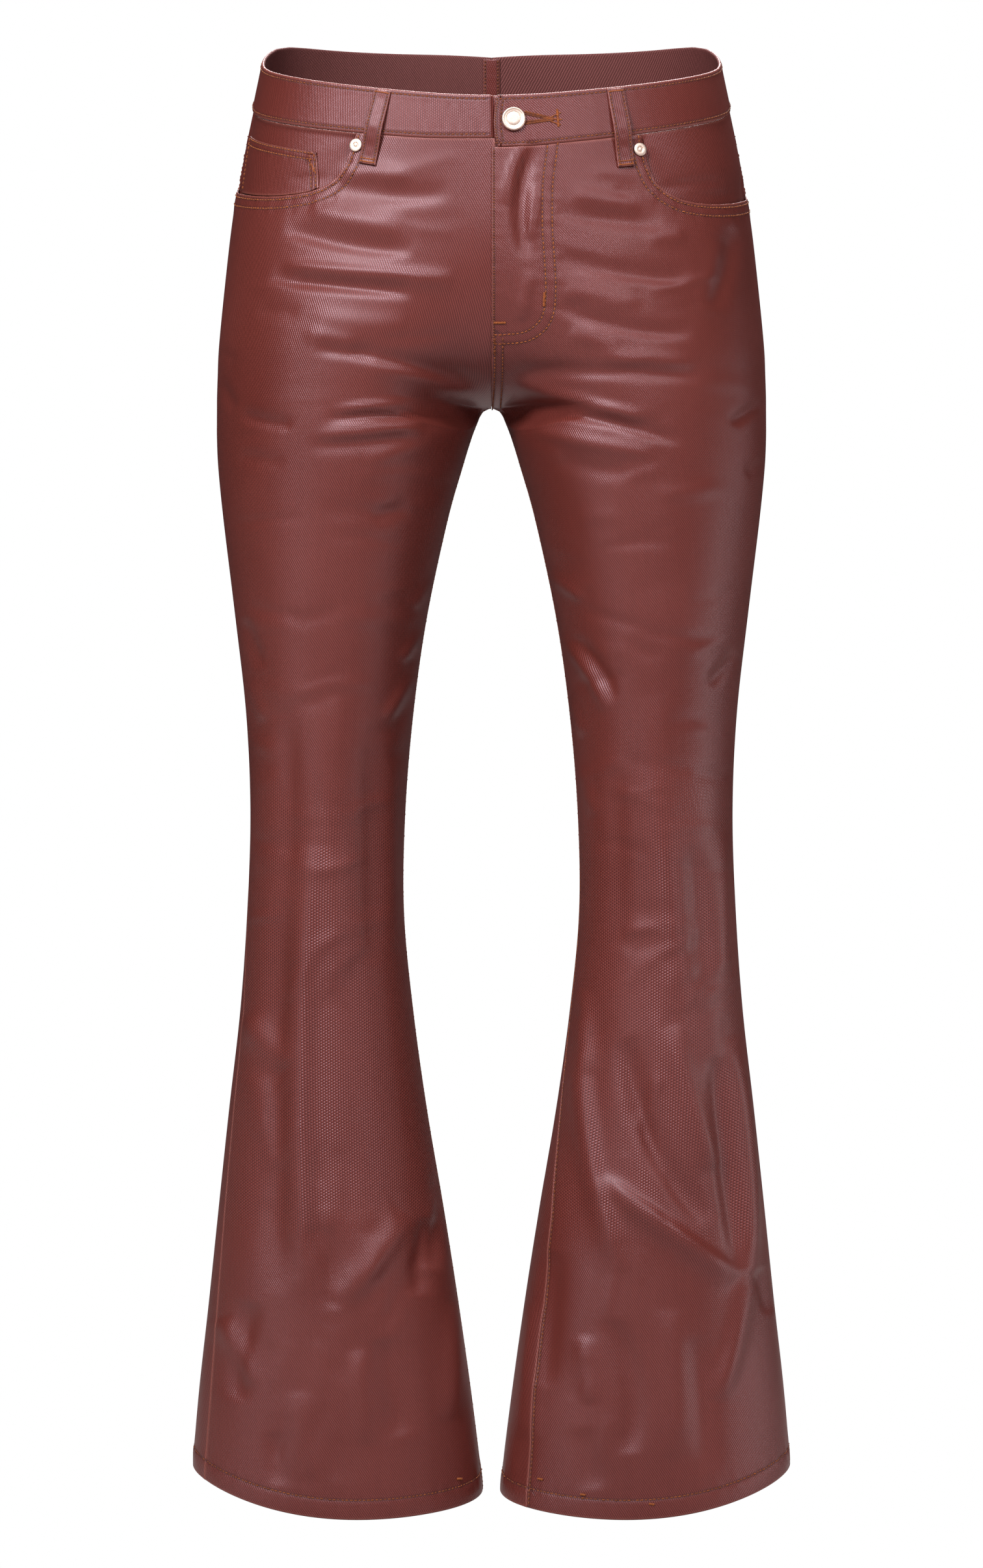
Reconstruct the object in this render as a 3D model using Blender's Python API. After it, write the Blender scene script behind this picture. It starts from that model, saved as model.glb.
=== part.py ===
"""Coated flared jeans, filled out as worn and hollow, built from their cut pieces.

Metres, +Z up. The front faces -Y and +X is the wearer's left. The origin is the middle of the
waist opening, half way up the waistband at the side seams.

Every piece of cloth is a wall on one surface. A row of that surface is a smooth curve from the
front centre (the centre seam, or the inseam below the crotch) round the side to the back centre.
Its place is given by a turn, 0 at the front centre, 1 at the side and 2 at the back centre, and by
a row number, a row of SECTIONS with a fraction.
"""

import math

import bpy
import numpy as np

# Driving sizes
CLOTH = 0.0014  # wall of a single panel
BAND = 0.0024  # folded waistband
HEM_WALL = 0.0024  # turned-up hem
HEM_DEPTH = 0.019
SEAM_GAP = 0.0003  # between two pieces at a seam
LAY_GAP = 0.0008  # between a piece and the coarser panel under it
BAND_PROUD = 0.0009  # the waistband's face stands out from the panels by this
FLY_PROUD = 0.0011  # the left front laps over the right front
FLY_WIDTH = 0.042
FACING_DEEP = -0.0034  # the pocket facing's face under the scooped edge
FACING_FLUSH = -0.0006
COIN_FLUSH = -0.0021
SCOOP_SHADE = 0.024  # distance over which the facing comes up from the scooped edge
UNDERLAP_GAP = 0.0008
LOOP_WIDTH = 0.0122
LOOP_WALL = 0.0016
LOOP_RISE = 0.0026
STRIP_WIDTH = 0.0126  # strip inside the waistband at the back centre
BUTTON_RADIUS = 0.0087
BUTTON_CAP = 0.0026
SHANK_RADIUS = 0.0026
EYE_RADIUS = 0.0036  # round end of the keyhole buttonhole
SLOT_WIDTH = 0.0022
SLOT_LENGTH = 0.020
RIVET_RADIUS = 0.0049
RIVET_HEIGHT = 0.0016
POCKET_WALL = 0.0013
ROUND_STEPS = 24

# The garment's sections, a row each from the waistband's top edge down to the hem.
# side: the outline's height, half width and depth at the side; front and back: the place of the
# row's foremost and rearmost point, and how far it lies below or above the side's height.
SECTIONS = np.array((
    # sideZ    sideX   sideY   frontX  frontY   frontDz  backX   backY   backDz
    (0.0174, 0.1717, 0.000, 0.055, -0.1030, -0.0310, 0.055, 0.0990, 0.0156),
    (-0.0174, 0.1792, 0.001, 0.057, -0.1065, -0.0316, 0.058, 0.1050, 0.0156),
    (-0.0502, 0.1862, 0.002, 0.060, -0.1090, -0.0280, 0.064, 0.1130, 0.0130),
    (-0.0937, 0.1942, 0.003, 0.066, -0.1115, -0.0210, 0.072, 0.1220, 0.0090),
    (-0.1420, 0.2000, 0.004, 0.078, -0.1130, -0.0120, 0.080, 0.1280, 0.0040),
    (-0.1903, 0.2046, 0.004, 0.093, -0.1130, -0.0050, 0.092, 0.1270, 0.0000),
    (-0.2145, 0.2056, 0.004, 0.098, -0.1120, -0.0020, 0.096, 0.1210, -0.0010),
    (-0.2289, 0.2060, 0.004, 0.101, -0.1110, 0.0000, 0.099, 0.1170, -0.0010),
    (-0.2376, 0.2060, 0.004, 0.103, -0.1105, 0.0000, 0.101, 0.1145, 0.0000),  # crotch
    (-0.2415, 0.2060, 0.004, 0.104, -0.1100, 0.0000, 0.102, 0.1130, 0.0000),
    (-0.2483, 0.2060, 0.004, 0.105, -0.1095, 0.0000, 0.103, 0.1110, 0.0000),
    (-0.2603, 0.2059, 0.004, 0.106, -0.1085, 0.0000, 0.105, 0.1070, 0.0000),
    (-0.2821, 0.2048, 0.003, 0.108, -0.1065, 0.0000, 0.107, 0.1010, 0.0000),
    (-0.3207, 0.2007, 0.002, 0.113, -0.1025, 0.0000, 0.112, 0.0920, 0.0000),
    (-0.3932, 0.1915, 0.000, 0.119, -0.0935, 0.0000, 0.118, 0.0790, 0.0000),
    (-0.4656, 0.1831, -0.003, 0.1205, -0.0845, 0.0000, 0.120, 0.0700, 0.0000),
    (-0.5381, 0.1799, -0.006, 0.1220, -0.0770, 0.0000, 0.122, 0.0640, 0.0000),
    (-0.6105, 0.1823, -0.006, 0.1235, -0.0710, 0.0000, 0.123, 0.0630, 0.0000),
    (-0.6830, 0.1876, -0.003, 0.1230, -0.0690, -0.0020, 0.122, 0.0660, 0.0000),
    (-0.7554, 0.1961, 0.000, 0.1220, -0.0690, -0.0060, 0.121, 0.0710, -0.0010),
    (-0.8279, 0.2041, 0.002, 0.1200, -0.0705, -0.0110, 0.119, 0.0750, -0.0030),
    (-0.9003, 0.2118, 0.002, 0.1180, -0.0735, -0.0170, 0.117, 0.0780, -0.0050),
    (-0.9631, 0.2190, 0.001, 0.1165, -0.0755, -0.0250, 0.115, 0.0790, -0.0080),
    (-1.0206, 0.2239, 0.000, 0.1145, -0.0770, -0.0335, 0.113, 0.0800, -0.0110),
))
SIDE_Z, SIDE_X, SIDE_Y, FRONT_X, FRONT_Y, FRONT_DZ, BACK_X, BACK_Y, BACK_DZ = range(9)

# The centre seam from the waist to the crotch, a row for each of the first sections
RISE = np.array((
    # frontY   frontZ   backY    backZ
    (-0.1070, -0.0165, 0.0980, 0.0350),
    (-0.1100, -0.0515, 0.1040, 0.0000),
    (-0.1120, -0.0830, 0.1115, -0.0360),
    (-0.1125, -0.1180, 0.1195, -0.0840),
    (-0.1075, -0.1570, 0.1215, -0.1370),
    (-0.0920, -0.1970, 0.1040, -0.1900),
    (-0.0660, -0.2215, 0.0720, -0.2205),
    (-0.0360, -0.2335, 0.0370, -0.2335),
    (-0.0020, -0.2376, -0.0020, -0.2376),
))
# The inner side of the leg from the crotch to the hem, a row for each of the other sections
INNER_LEG = np.array((
    # x       y        z
    (0.0000, -0.002, -0.2376),
    (0.0065, -0.002, -0.2402),
    (0.0104, -0.002, -0.2483),
    (0.0150, -0.001, -0.2603),
    (0.0217, 0.000, -0.2821),
    (0.0326, 0.000, -0.3207),
    (0.0481, 0.000, -0.3932),
    (0.0582, -0.002, -0.4656),
    (0.0640, -0.004, -0.5381),
    (0.0650, -0.004, -0.6105),
    (0.0582, -0.002, -0.6835),
    (0.0479, 0.000, -0.7580),
    (0.0352, 0.002, -0.8330),
    (0.0234, 0.002, -0.9090),
    (0.0140, 0.001, -0.9760),
    (0.0062, 0.000, -1.0404),
))
CROTCH = len(RISE) - 1
HEM = len(SECTIONS) - 1
BAND_SEAM = 1.0

# How far the seams turn from the surface's own lines, by row: the legs hang a little twisted
SEAM_ROWS = (0, 7, 8, 10, 12, 16, 18, 20, 22, 23)
OUTSEAM_LEFT = (1.03, 1.03, 1.03, 1.03, 1.02, 1.00, 1.00, 1.00, 1.00, 1.00)
OUTSEAM_RIGHT = (1.03, 1.03, 1.03, 1.03, 1.02, 1.00, 0.90, 0.885, 0.86, 0.86)
INSEAM_LEFT = (0.0, 0.0, 0.0, 0.0, 0.0, 0.0, 0.03, 0.14, 0.17, 0.18)
INSEAM_RIGHT = (0.0,) * 10

# Largest folds, seen from the front (face -1) or the back (face 1). Each runs from its start to
# its end, bowed sideways, and is a ridge where its height is positive and a trough where negative.
FOLDS = np.array((
    # face startX  startZ    endX    endZ     bow     width   height
    (-1, -0.160, -0.108, -0.040, -0.122, -0.006, 0.009, -0.0022),
    (-1, -0.172, -0.136, -0.030, -0.150, -0.004, 0.009, -0.0026),
    (-1, -0.150, -0.128, -0.022, -0.136, 0.004, 0.010, 0.0018),
    (-1, -0.135, -0.190, -0.008, -0.214, 0.006, 0.009, -0.0026),
    (-1, -0.135, -0.248, -0.002, -0.236, -0.008, 0.007, 0.0028),
    (-1, -0.130, -0.258, -0.026, -0.250, 0.008, 0.008, -0.0026),
    (-1, 0.026, -0.034, 0.028, -0.128, -0.004, 0.008, -0.0036),
    (-1, 0.014, -0.050, 0.006, -0.100, 0.000, 0.006, 0.0016),
    (-1, 0.044, -0.127, 0.160, -0.138, -0.006, 0.010, -0.0024),
    (-1, 0.044, -0.158, 0.160, -0.176, -0.010, 0.010, -0.0026),
    (-1, 0.180, -0.100, 0.160, -0.170, 0.004, 0.012, -0.0022),
    (-1, 0.012, -0.208, 0.160, -0.212, 0.000, 0.010, -0.0020),
    (-1, 0.010, -0.230, 0.140, -0.262, 0.004, 0.008, -0.0030),
    (-1, 0.020, -0.216, 0.130, -0.244, 0.004, 0.009, 0.0022),
    (-1, -0.132, -0.560, -0.138, -0.850, -0.006, 0.013, 0.0042),
    (-1, -0.158, -0.600, -0.156, -0.880, -0.004, 0.013, -0.0032),
    (-1, -0.062, -0.835, -0.130, -0.905, 0.004, 0.013, 0.0036),
    (-1, -0.108, -0.800, -0.118, -0.885, 0.000, 0.013, -0.0030),
    (-1, -0.036, -0.800, -0.054, -0.900, 0.004, 0.011, -0.0034),
    (-1, -0.190, -0.860, -0.184, -0.990, 0.000, 0.014, -0.0024),
    (-1, 0.070, -0.680, 0.100, -0.890, 0.010, 0.013, 0.0036),
    (-1, 0.098, -0.690, 0.156, -0.850, 0.014, 0.013, -0.0036),
    (-1, 0.110, -0.820, 0.184, -0.890, 0.004, 0.012, 0.0032),
    (-1, 0.168, -0.700, 0.186, -0.880, 0.004, 0.011, -0.0036),
    (-1, 0.192, -0.720, 0.176, -0.960, -0.010, 0.012, 0.0028),
    (-1, 0.092, -0.900, 0.106, -1.000, -0.004, 0.014, -0.0026),
    (-1, -0.074, -0.476, -0.054, -0.400, 0.000, 0.007, 0.0018),
    (-1, 0.054, -0.400, 0.086, -0.462, 0.004, 0.007, 0.0018),
    (1, 0.020, -0.232, 0.150, -0.262, -0.008, 0.010, -0.0030),
    (1, -0.020, -0.234, -0.155, -0.268, 0.008, 0.010, -0.0030),
    (1, 0.030, -0.262, 0.140, -0.300, -0.006, 0.010, -0.0024),
    (1, -0.030, -0.266, -0.150, -0.306, 0.006, 0.010, -0.0024),
    (1, 0.074, -0.520, 0.170, -0.545, -0.006, 0.010, -0.0028),
    (1, -0.072, -0.530, -0.168, -0.520, 0.006, 0.010, -0.0028),
    (1, 0.076, -0.560, 0.165, -0.590, -0.006, 0.010, -0.0024),
    (1, -0.074, -0.565, -0.168, -0.575, 0.006, 0.010, -0.0024),
    (1, 0.110, -0.640, 0.100, -0.940, 0.006, 0.016, 0.0036),
    (1, -0.112, -0.650, -0.104, -0.950, -0.006, 0.016, 0.0036),
    (1, 0.160, -0.720, 0.178, -1.000, 0.004, 0.014, -0.0030),
    (1, -0.158, -0.700, -0.176, -1.000, -0.004, 0.014, -0.0030),
    (1, 0.070, -0.760, 0.050, -1.000, 0.004, 0.014, -0.0028),
    (1, -0.070, -0.780, -0.052, -1.000, -0.004, 0.014, -0.0028),
))

# Edge of each front pocket's opening, from the waistband to the side seam
SCOOP_RIGHT = ((0.0990, -0.0440), (0.1025, -0.0560), (0.1080, -0.0690), (0.1170, -0.0785),
               (0.1330, -0.0845), (0.1550, -0.0862), (0.1750, -0.0838), (0.1880, -0.0785))
SCOOP_LEFT = ((0.1095, -0.0440), (0.1125, -0.0600), (0.1180, -0.0750), (0.1270, -0.0845),
              (0.1410, -0.0905), (0.1600, -0.0918), (0.1780, -0.0890), (0.1890, -0.0835))
COIN_TOP = ((0.1790, -0.0365), (0.1280, -0.0556))  # top corners of the coin pocket
YOKE_SEAM = ((1.0, 1.95), (1.5, 2.20), (2.0, 2.62))  # turn and row
POCKET_CORNERS = (  # back pocket, seen from behind: outer top, inner top, and the lower corners
    (0.1700, -0.1080), (0.0500, -0.0940), (0.1620, -0.2300), (0.0600, -0.2240))
POCKET_POINT = 0.016
LOOPS = (  # name, and its top and foot as seen from the front or from the back
    ("belt_loop_front_right", -1, -0.0786, -0.0123, -0.0900, -0.0668),
    ("belt_loop_front_left", -1, 0.0895, -0.0108, 0.0975, -0.0680),
    ("belt_loop_back_right", 1, -0.1060, 0.0265, -0.1120, -0.0290),
    ("belt_loop_back_left", 1, 0.1060, 0.0265, 0.1120, -0.0290),
    ("belt_loop_back_centre", 1, 0.0, 0.0345, 0.0, -0.0215),
)
RIVETS = (("rivet_right", -1, 0.0983, -0.0522), ("rivet_left", 1, 0.1077, -0.0550))
BUTTON_AT = (0.0160, -0.0345)

TOP_FADE = 4.0  # rows over which the shape of a panel's top edge dies away
LAP_ROWS = 0.10  # at the front centre the left band is deeper and the right one shallower by this
FLY_FLAT = 0.012  # the fly's full height lasts this far from its edge
FLY_FOOT = (4.6, 7.0)  # rows over which the lap sinks to nothing
FACING_TURN = 0.035  # how far the pocket facing runs on under the front panel, in turns
FACING_ROWS = 0.28  # and below the scooped edge, in rows
COIN_FEET = (0.1870, 0.1268)  # where the coin pocket's sides meet the scooped edge
LAP_START = 0.012  # turn at which the left band ends
UNDERLAP_TURNS = (-0.36, -0.28, -0.20, -0.12, -0.06, -0.02, 0.008, 0.03, 0.06, 0.10)
UNDERLAP_STEP = (0.0015, 0.0095)  # the underlap comes up to the band's own level between these
LOOP_STEP = (0.001, 0.009)  # a loop's foot drops from the band to the panel between these
CENTRE_HANDLE = 0.39  # share of the chord that a row's inner curves use as their handles
SIDE_HANDLE = 0.55  # the same for the curves round the side, as a share of each axis
MOST_CURL = 0.3  # largest slope at which a row passes its foremost point
BLEND_TURN = 0.06  # spacing of the rows' smoothing, in turns
BLEND_WEIGHTS = (1, 4, 6, 4, 1)
FOLD_FACING = 0.6  # a fold has its full height where the surface's normal has this Y
CROTCH_ROWS = 4.0  # rows over which the halves' joining direction turns at the crotch
EPS = 2e-3  # step for differences, in turns and in rows


def clear_scene():
    for obj in list(bpy.data.objects):
        bpy.data.objects.remove(obj)


def make_material(name, colour, roughness, metallic, coat=0.0):
    material = bpy.data.materials.new(name)
    material.use_nodes = True
    shader = material.node_tree.nodes["Principled BSDF"]
    shader.inputs["Base Color"].default_value = (*colour, 1.0)
    shader.inputs["Roughness"].default_value = roughness
    shader.inputs["Metallic"].default_value = metallic
    shader.inputs["Coat Weight"].default_value = coat
    return material


def smooth(x):
    """0 below 0, 1 above 1, and an S-curve between."""
    x = np.clip(x, 0.0, 1.0)
    return x * x * (3.0 - 2.0 * x)


def spline(table, at):
    """A smooth curve through the rows of a table, at a row number with a fraction."""
    at = np.clip(at, 0.0, len(table) - 1.0)
    row = np.minimum(at.astype(int), len(table) - 2)
    t = (at - row)[..., None]
    slope = np.gradient(table, axis=0, edge_order=2)
    start, end = table[row], table[row + 1]
    rise = t * t * (3.0 - 2.0 * t)
    return (start + (end - start) * rise
            + slope[row] * t * (1.0 - t) ** 2
            - slope[row + 1] * t * t * (1.0 - t))


def unit(vectors):
    length = np.linalg.norm(vectors, axis=-1, keepdims=True)
    return vectors / np.maximum(length, 1e-12)


def centre_line(row, back):
    """The centre seam above the crotch and the inner leg below it."""
    columns = slice(2, 4) if back else slice(0, 2)
    rise = spline(RISE[:, columns], np.minimum(row, CROTCH))
    seam = np.concatenate([np.zeros_like(rise[..., :1]), rise], axis=-1)
    leg = spline(INNER_LEG, np.maximum(row - CROTCH, 0.0))
    return np.where((row < CROTCH)[..., None], seam, leg)


def leaving(row, back, slope):
    """The direction in which a row leaves the centre line: straight across the centre seam, along
    Y at the inner leg, and turning between the two near the crotch, so that halves join smoothly."""
    above = row < CROTCH
    low = np.where(above, row, row + EPS)
    high = np.where(above, row - EPS, row)
    down = unit(centre_line(low, back) - centre_line(high, back))
    turn = math.pi / 4 * (1.0 - smooth(np.abs(row - CROTCH) / CROTCH_ROWS))[..., None]
    across = np.zeros_like(down)
    across[..., 0] = 1.0
    outward = np.zeros_like(down)
    outward[..., 1] = 1.0 if back else -1.0
    outward[..., 2] = slope * outward[..., 1]
    seam = across * np.cos(turn) - down * np.sin(turn)
    leg = outward * np.cos(turn) + down * np.sin(turn)
    return np.where(above[..., None], seam, leg)


def bezier(points, t):
    """A cubic curve through four control points."""
    a, b, c, d = points
    s = 1.0 - t
    return a * s ** 3 + b * 3.0 * s * s * t + c * 3.0 * s * t * t + d * t ** 3


def quarters(turn, row):
    """Four cubic curves a row: inner front, outer front, outer back and inner back."""
    size = spline(SECTIONS, row)
    zero = np.zeros_like(size[..., 0])
    front_mid = centre_line(row, False)
    back_mid = centre_line(row, True)
    side_z = size[..., SIDE_Z]
    front = np.stack([size[..., FRONT_X], size[..., FRONT_Y], side_z + size[..., FRONT_DZ]], -1)
    side = np.stack([size[..., SIDE_X], size[..., SIDE_Y], side_z], -1)
    back = np.stack([size[..., BACK_X], size[..., BACK_Y], side_z + size[..., BACK_DZ]], -1)
    climb = (back[..., 2] - front[..., 2]) / (back[..., 1] - front[..., 1])
    front_lean = 0.5 * (side[..., 2] - front_mid[..., 2]) / (side[..., 0] - front_mid[..., 0])
    back_lean = 0.5 * (side[..., 2] - back_mid[..., 2]) / (side[..., 0] - back_mid[..., 0])
    curl = np.clip(2.0 * (front[..., 1] - front_mid[..., 1]) / front[..., 0], 0.0, MOST_CURL)
    across_front = np.stack([zero + 1.0, curl, front_lean], -1)
    across_back = np.stack([zero + 1.0, zero, back_lean], -1)
    along_side = np.stack([zero, zero + 1.0, climb], -1)
    start = leaving(row, False, climb)
    finish = leaving(row, True, climb)

    def reach(a, b):
        return CENTRE_HANDLE * np.linalg.norm(b - a, axis=-1, keepdims=True)

    def handle(a, b, axis):
        return SIDE_HANDLE * np.abs(b - a)[..., axis:axis + 1]

    curves = (
        (front_mid, front_mid + start * reach(front_mid, front),
         front - across_front * reach(front_mid, front), front),
        (front, front + across_front * handle(front, side, 0),
         side - along_side * handle(front, side, 1), side),
        (side, side + along_side * handle(side, back, 1),
         back + across_back * handle(side, back, 0), back),
        (back, back - across_back * reach(back, back_mid),
         back_mid + finish * reach(back, back_mid), back_mid),
    )
    out = np.zeros_like(side)
    for n, points in enumerate(curves):
        t = (2.0 * turn - n)[..., None]
        inside = (t >= 0.0) & ((t < 1.0) | (n == 3))
        out = np.where(inside, bezier(points, np.clip(t, 0.0, 1.0)), out)
    return out


def skin(turn, row):
    """The garment's smooth surface on the +X side, with no folds. Each point is a weighted mean
    of its row's points near it, which rounds off the joints between the row's curves."""
    turn = np.where((turn > 2.0) & (row > CROTCH), turn - 2.0, turn)
    spacing = BLEND_TURN * smooth(np.minimum(turn, 2.0 - turn) / 0.3)
    out = np.zeros(np.shape(turn) + (3,))
    for n, weight in enumerate(BLEND_WEIGHTS):
        out += weight * quarters(turn + (n - 2) * spacing, row)
    return out / sum(BLEND_WEIGHTS)


def grid_normals(surface, turn, row, side):
    """Outward normals, from differences along the row and down the leg."""
    ahead = surface(np.minimum(turn + EPS, np.where(row > CROTCH, 3.0, 2.0)), row, side)
    behind = surface(np.maximum(turn - EPS, 0.0), row, side)
    below = surface(turn, np.minimum(row + EPS, HEM), side)
    above = surface(turn, np.maximum(row - EPS, 0.0), side)
    normal = np.cross(below - above, ahead - behind)
    return unit(normal) * np.asarray(side)[..., None]


def plain(turn, row, side):
    points = skin(turn, row)
    return np.stack([points[..., 0] * side, points[..., 1], points[..., 2]], -1)


def fold_height(points, normals):
    """The sum of the folds. Each is a bell across its bowed line, fading at both ends and
    where the surface turns away from the side it is seen from."""
    height = np.zeros(points.shape[:-1])
    for face, x0, z0, x1, z1, bow, width, tall in FOLDS:
        run = np.hypot(x1 - x0, z1 - z0)
        along_x, along_z = (x1 - x0) / run, (z1 - z0) / run
        dx, dz = points[..., 0] - x0, points[..., 2] - z0
        t = (dx * along_x + dz * along_z) / run
        across = dz * along_x - dx * along_z - bow * 4.0 * t * (1.0 - t)
        ends = np.clip(1.0 - (2.0 * t - 1.0) ** 4, 0.0, 1.0)
        facing = smooth(face * normals[..., 1] / FOLD_FACING)
        height += tall * np.exp(-(across / width) ** 2) * ends * facing
    return height


def cloth(turn, row, side):
    """The surface with its folds, on the side given as -1 or 1."""
    points = plain(turn, row, side)
    normals = grid_normals(plain, turn, row, side)
    return points + normals * fold_height(points, normals)[..., None]


def lift(turn, row, side, level):
    """Points at a height over the folded surface."""
    turn, row, side, level = np.broadcast_arrays(turn, row, side, level)
    normals = grid_normals(cloth, turn, row, side)
    return cloth(turn, row, side) + normals * level[..., None]


def steps(turn, row, side):
    """How much turn and row make up a metre at a place."""
    ahead, behind = turn + EPS, np.maximum(turn - EPS, 0.0)
    below, above = np.minimum(row + EPS, HEM), np.maximum(row - EPS, 0.0)
    wide = cloth(ahead, row, side) - cloth(behind, row, side)
    tall = cloth(turn, below, side) - cloth(turn, above, side)
    per_turn = (ahead - behind) / np.linalg.norm(wide, axis=-1)
    per_row = (below - above) / np.linalg.norm(tall, axis=-1)
    return per_turn, per_row


def locate(x, z, back=False):
    """Turn and row of the place seen at x, z, by Newton's steps on the plain surface."""
    x, z = np.broadcast_arrays(np.asarray(x, float), np.asarray(z, float))
    turn = np.full(x.shape, 1.5 if back else 0.5)
    row = np.interp(-z, -SECTIONS[:, SIDE_Z], np.arange(HEM + 1.0))
    low, high = (1.0, 2.0) if back else (0.0, 1.0)
    for _ in range(30):
        here = skin(turn, row)
        turned = (skin(turn + EPS, row) - here) / EPS
        lowered = (skin(turn, row + EPS) - here) / EPS
        miss_x, miss_z = x - here[..., 0], z - here[..., 2]
        area = turned[..., 0] * lowered[..., 2] - lowered[..., 0] * turned[..., 2]
        area = np.where(np.abs(area) < 1e-7, 1e-7, area)
        move_turn = (miss_x * lowered[..., 2] - miss_z * lowered[..., 0]) / area
        move_row = (miss_z * turned[..., 0] - miss_x * turned[..., 2]) / area
        turn = np.clip(turn + np.clip(move_turn, -0.08, 0.08), low, high)
        row = np.clip(row + np.clip(move_row, -0.8, 0.8), 0.0, HEM)
    return turn, row


def mesh_object(name, points, faces, material):
    mesh = bpy.data.meshes.new(name)
    mesh.from_pydata([tuple(p) for p in points], [], [tuple(int(i) for i in f) for f in faces])
    mesh.materials.append(material)
    mesh.shade_smooth()
    mesh.set_sharp_from_angle(angle=math.radians(50))
    obj = bpy.data.objects.new(name, mesh)
    bpy.context.collection.objects.link(obj)
    return obj


def wall(name, outer, inner, material, flip):
    """A closed wall between two grids of points: both faces and the four edges."""
    rows, columns = outer.shape[:2]
    index = np.arange(rows * columns).reshape(rows, columns)
    under = index + rows * columns
    faces = []

    def strip(a, b):
        faces.extend(np.stack([a[:-1], b[:-1], b[1:], a[1:]], -1).tolist())

    for r in range(rows - 1):
        strip(index[r], index[r + 1])
        strip(under[r + 1], under[r])
    strip(under[0], index[0])
    strip(index[-1], under[-1])
    strip(index[:, 0], under[:, 0])
    strip(under[:, -1], index[:, -1])
    if flip:
        faces = [face[::-1] for face in faces]
    points = np.concatenate([outer.reshape(-1, 3), inner.reshape(-1, 3)])
    return mesh_object(name, points, faces, material)


def panel_rows():
    """Rows of a panel: close over the hips and the crotch, wider down the leg."""
    return np.concatenate([
        np.arange(1.0, 3.0, 0.5), np.arange(3.0, 7.0, 0.4), np.arange(7.0, 9.0, 0.5),
        np.arange(9.0, 13.0, 1.0), np.arange(13.0, 22.9, 0.5)])


def with_hem(rows):
    """The rows down to the hem, with one where the turned-up hem starts."""
    _, per_metre = steps(np.array([1.0]), np.array([HEM - 0.1]), np.array([1.0]))
    hem_row = HEM - HEM_DEPTH * float(per_metre[0])
    rows = rows[rows < hem_row - 0.12]
    return np.append(rows, [hem_row, hem_row + 0.03, HEM]), hem_row + 0.015


def outseam(row, side):
    return np.interp(row, SEAM_ROWS, OUTSEAM_LEFT if side > 0 else OUTSEAM_RIGHT)


def inseam(row, side):
    return np.interp(row, SEAM_ROWS, INSEAM_LEFT if side > 0 else INSEAM_RIGHT)


def band_foot(turn, side):
    """Row of the seam under the waistband, lower on the left of the front centre than right."""
    return BAND_SEAM + side * LAP_ROWS * (1.0 - smooth(turn))


def scoop_line(side):
    """Turns and rows of the pocket opening's edge."""
    edge = np.array(SCOOP_LEFT if side > 0 else SCOOP_RIGHT)
    return locate(edge[:, 0], edge[:, 1])


def front_top(turn, side):
    """Row of the front panel's top edge: the waistband seam, then the scooped pocket edge."""
    turns, rows = scoop_line(side)
    edge = np.interp(turn, turns, rows)
    seam = band_foot(turn, side)
    return np.where(turn <= turns[0], seam, np.maximum(edge, seam))


def front_columns(side):
    """Shares of a front panel's width, with one at each point of the scooped edge."""
    turns, _ = scoop_line(side)
    shares = turns / outseam(BAND_SEAM, side)
    inner = np.linspace(0.0, shares[0] - 0.004, 7)
    return np.unique(np.round(np.concatenate([inner, shares[shares < 0.90], [0.92, 0.96, 1.0]]), 4))


def front_panel(name, side, material):
    half = SEAM_GAP / 2
    rows, hem_start = with_hem(panel_rows())
    a, base_row = np.meshgrid(front_columns(side), rows)
    side_grid = np.full(a.shape, float(side))
    shape = front_top(a * outseam(1.0, side), side) - BAND_SEAM
    row = base_row + shape * (1.0 - smooth((base_row - BAND_SEAM) / TOP_FADE))
    start, end = inseam(row, side), outseam(row, side)
    turn = start + a * (end - start)
    per_turn, per_row = steps(turn, row, side_grid)
    turn = turn + half * per_turn * (1.0 - 2.0 * a)
    row = row + half * per_row * (base_row == rows[0])
    across = (turn / per_turn - FLY_FLAT) / (FLY_WIDTH - FLY_FLAT)
    down = (base_row - FLY_FOOT[0]) / (FLY_FOOT[1] - FLY_FOOT[0])
    proud = FLY_PROUD * (side > 0) * (1.0 - smooth(across)) * (1.0 - smooth(down))
    under = np.where(base_row >= hem_start, HEM_WALL, CLOTH)
    outer = lift(turn, row, side_grid, proud)
    inner = lift(turn, row, side_grid, proud - under)
    return wall(name, outer, inner, material, side < 0)


def back_panel(name, side, material):
    rows, hem_start = with_hem(panel_rows())
    a, base_row = np.meshgrid(np.linspace(0.0, 1.0, 15), rows)
    side_grid = np.full(a.shape, float(side))
    yoke_turns, yoke_rows = zip(*YOKE_SEAM)
    shape = np.interp(1.0 + a, yoke_turns, yoke_rows) - BAND_SEAM
    row = base_row + shape * (1.0 - smooth((base_row - BAND_SEAM) / TOP_FADE))
    start, end = outseam(row, side), 2.0 + inseam(row, side)
    turn = start + a * (end - start)
    per_turn, per_row = steps(turn, row, side_grid)
    half = SEAM_GAP / 2
    turn = turn + half * per_turn * (1.0 - 2.0 * a)
    row = row + half * per_row * (base_row == rows[0])
    under = np.where(base_row >= hem_start, HEM_WALL, CLOTH)
    outer = lift(turn, row, side_grid, 0.0)
    inner = lift(turn, row, side_grid, -under)
    return wall(name, outer, inner, material, side < 0)


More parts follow.
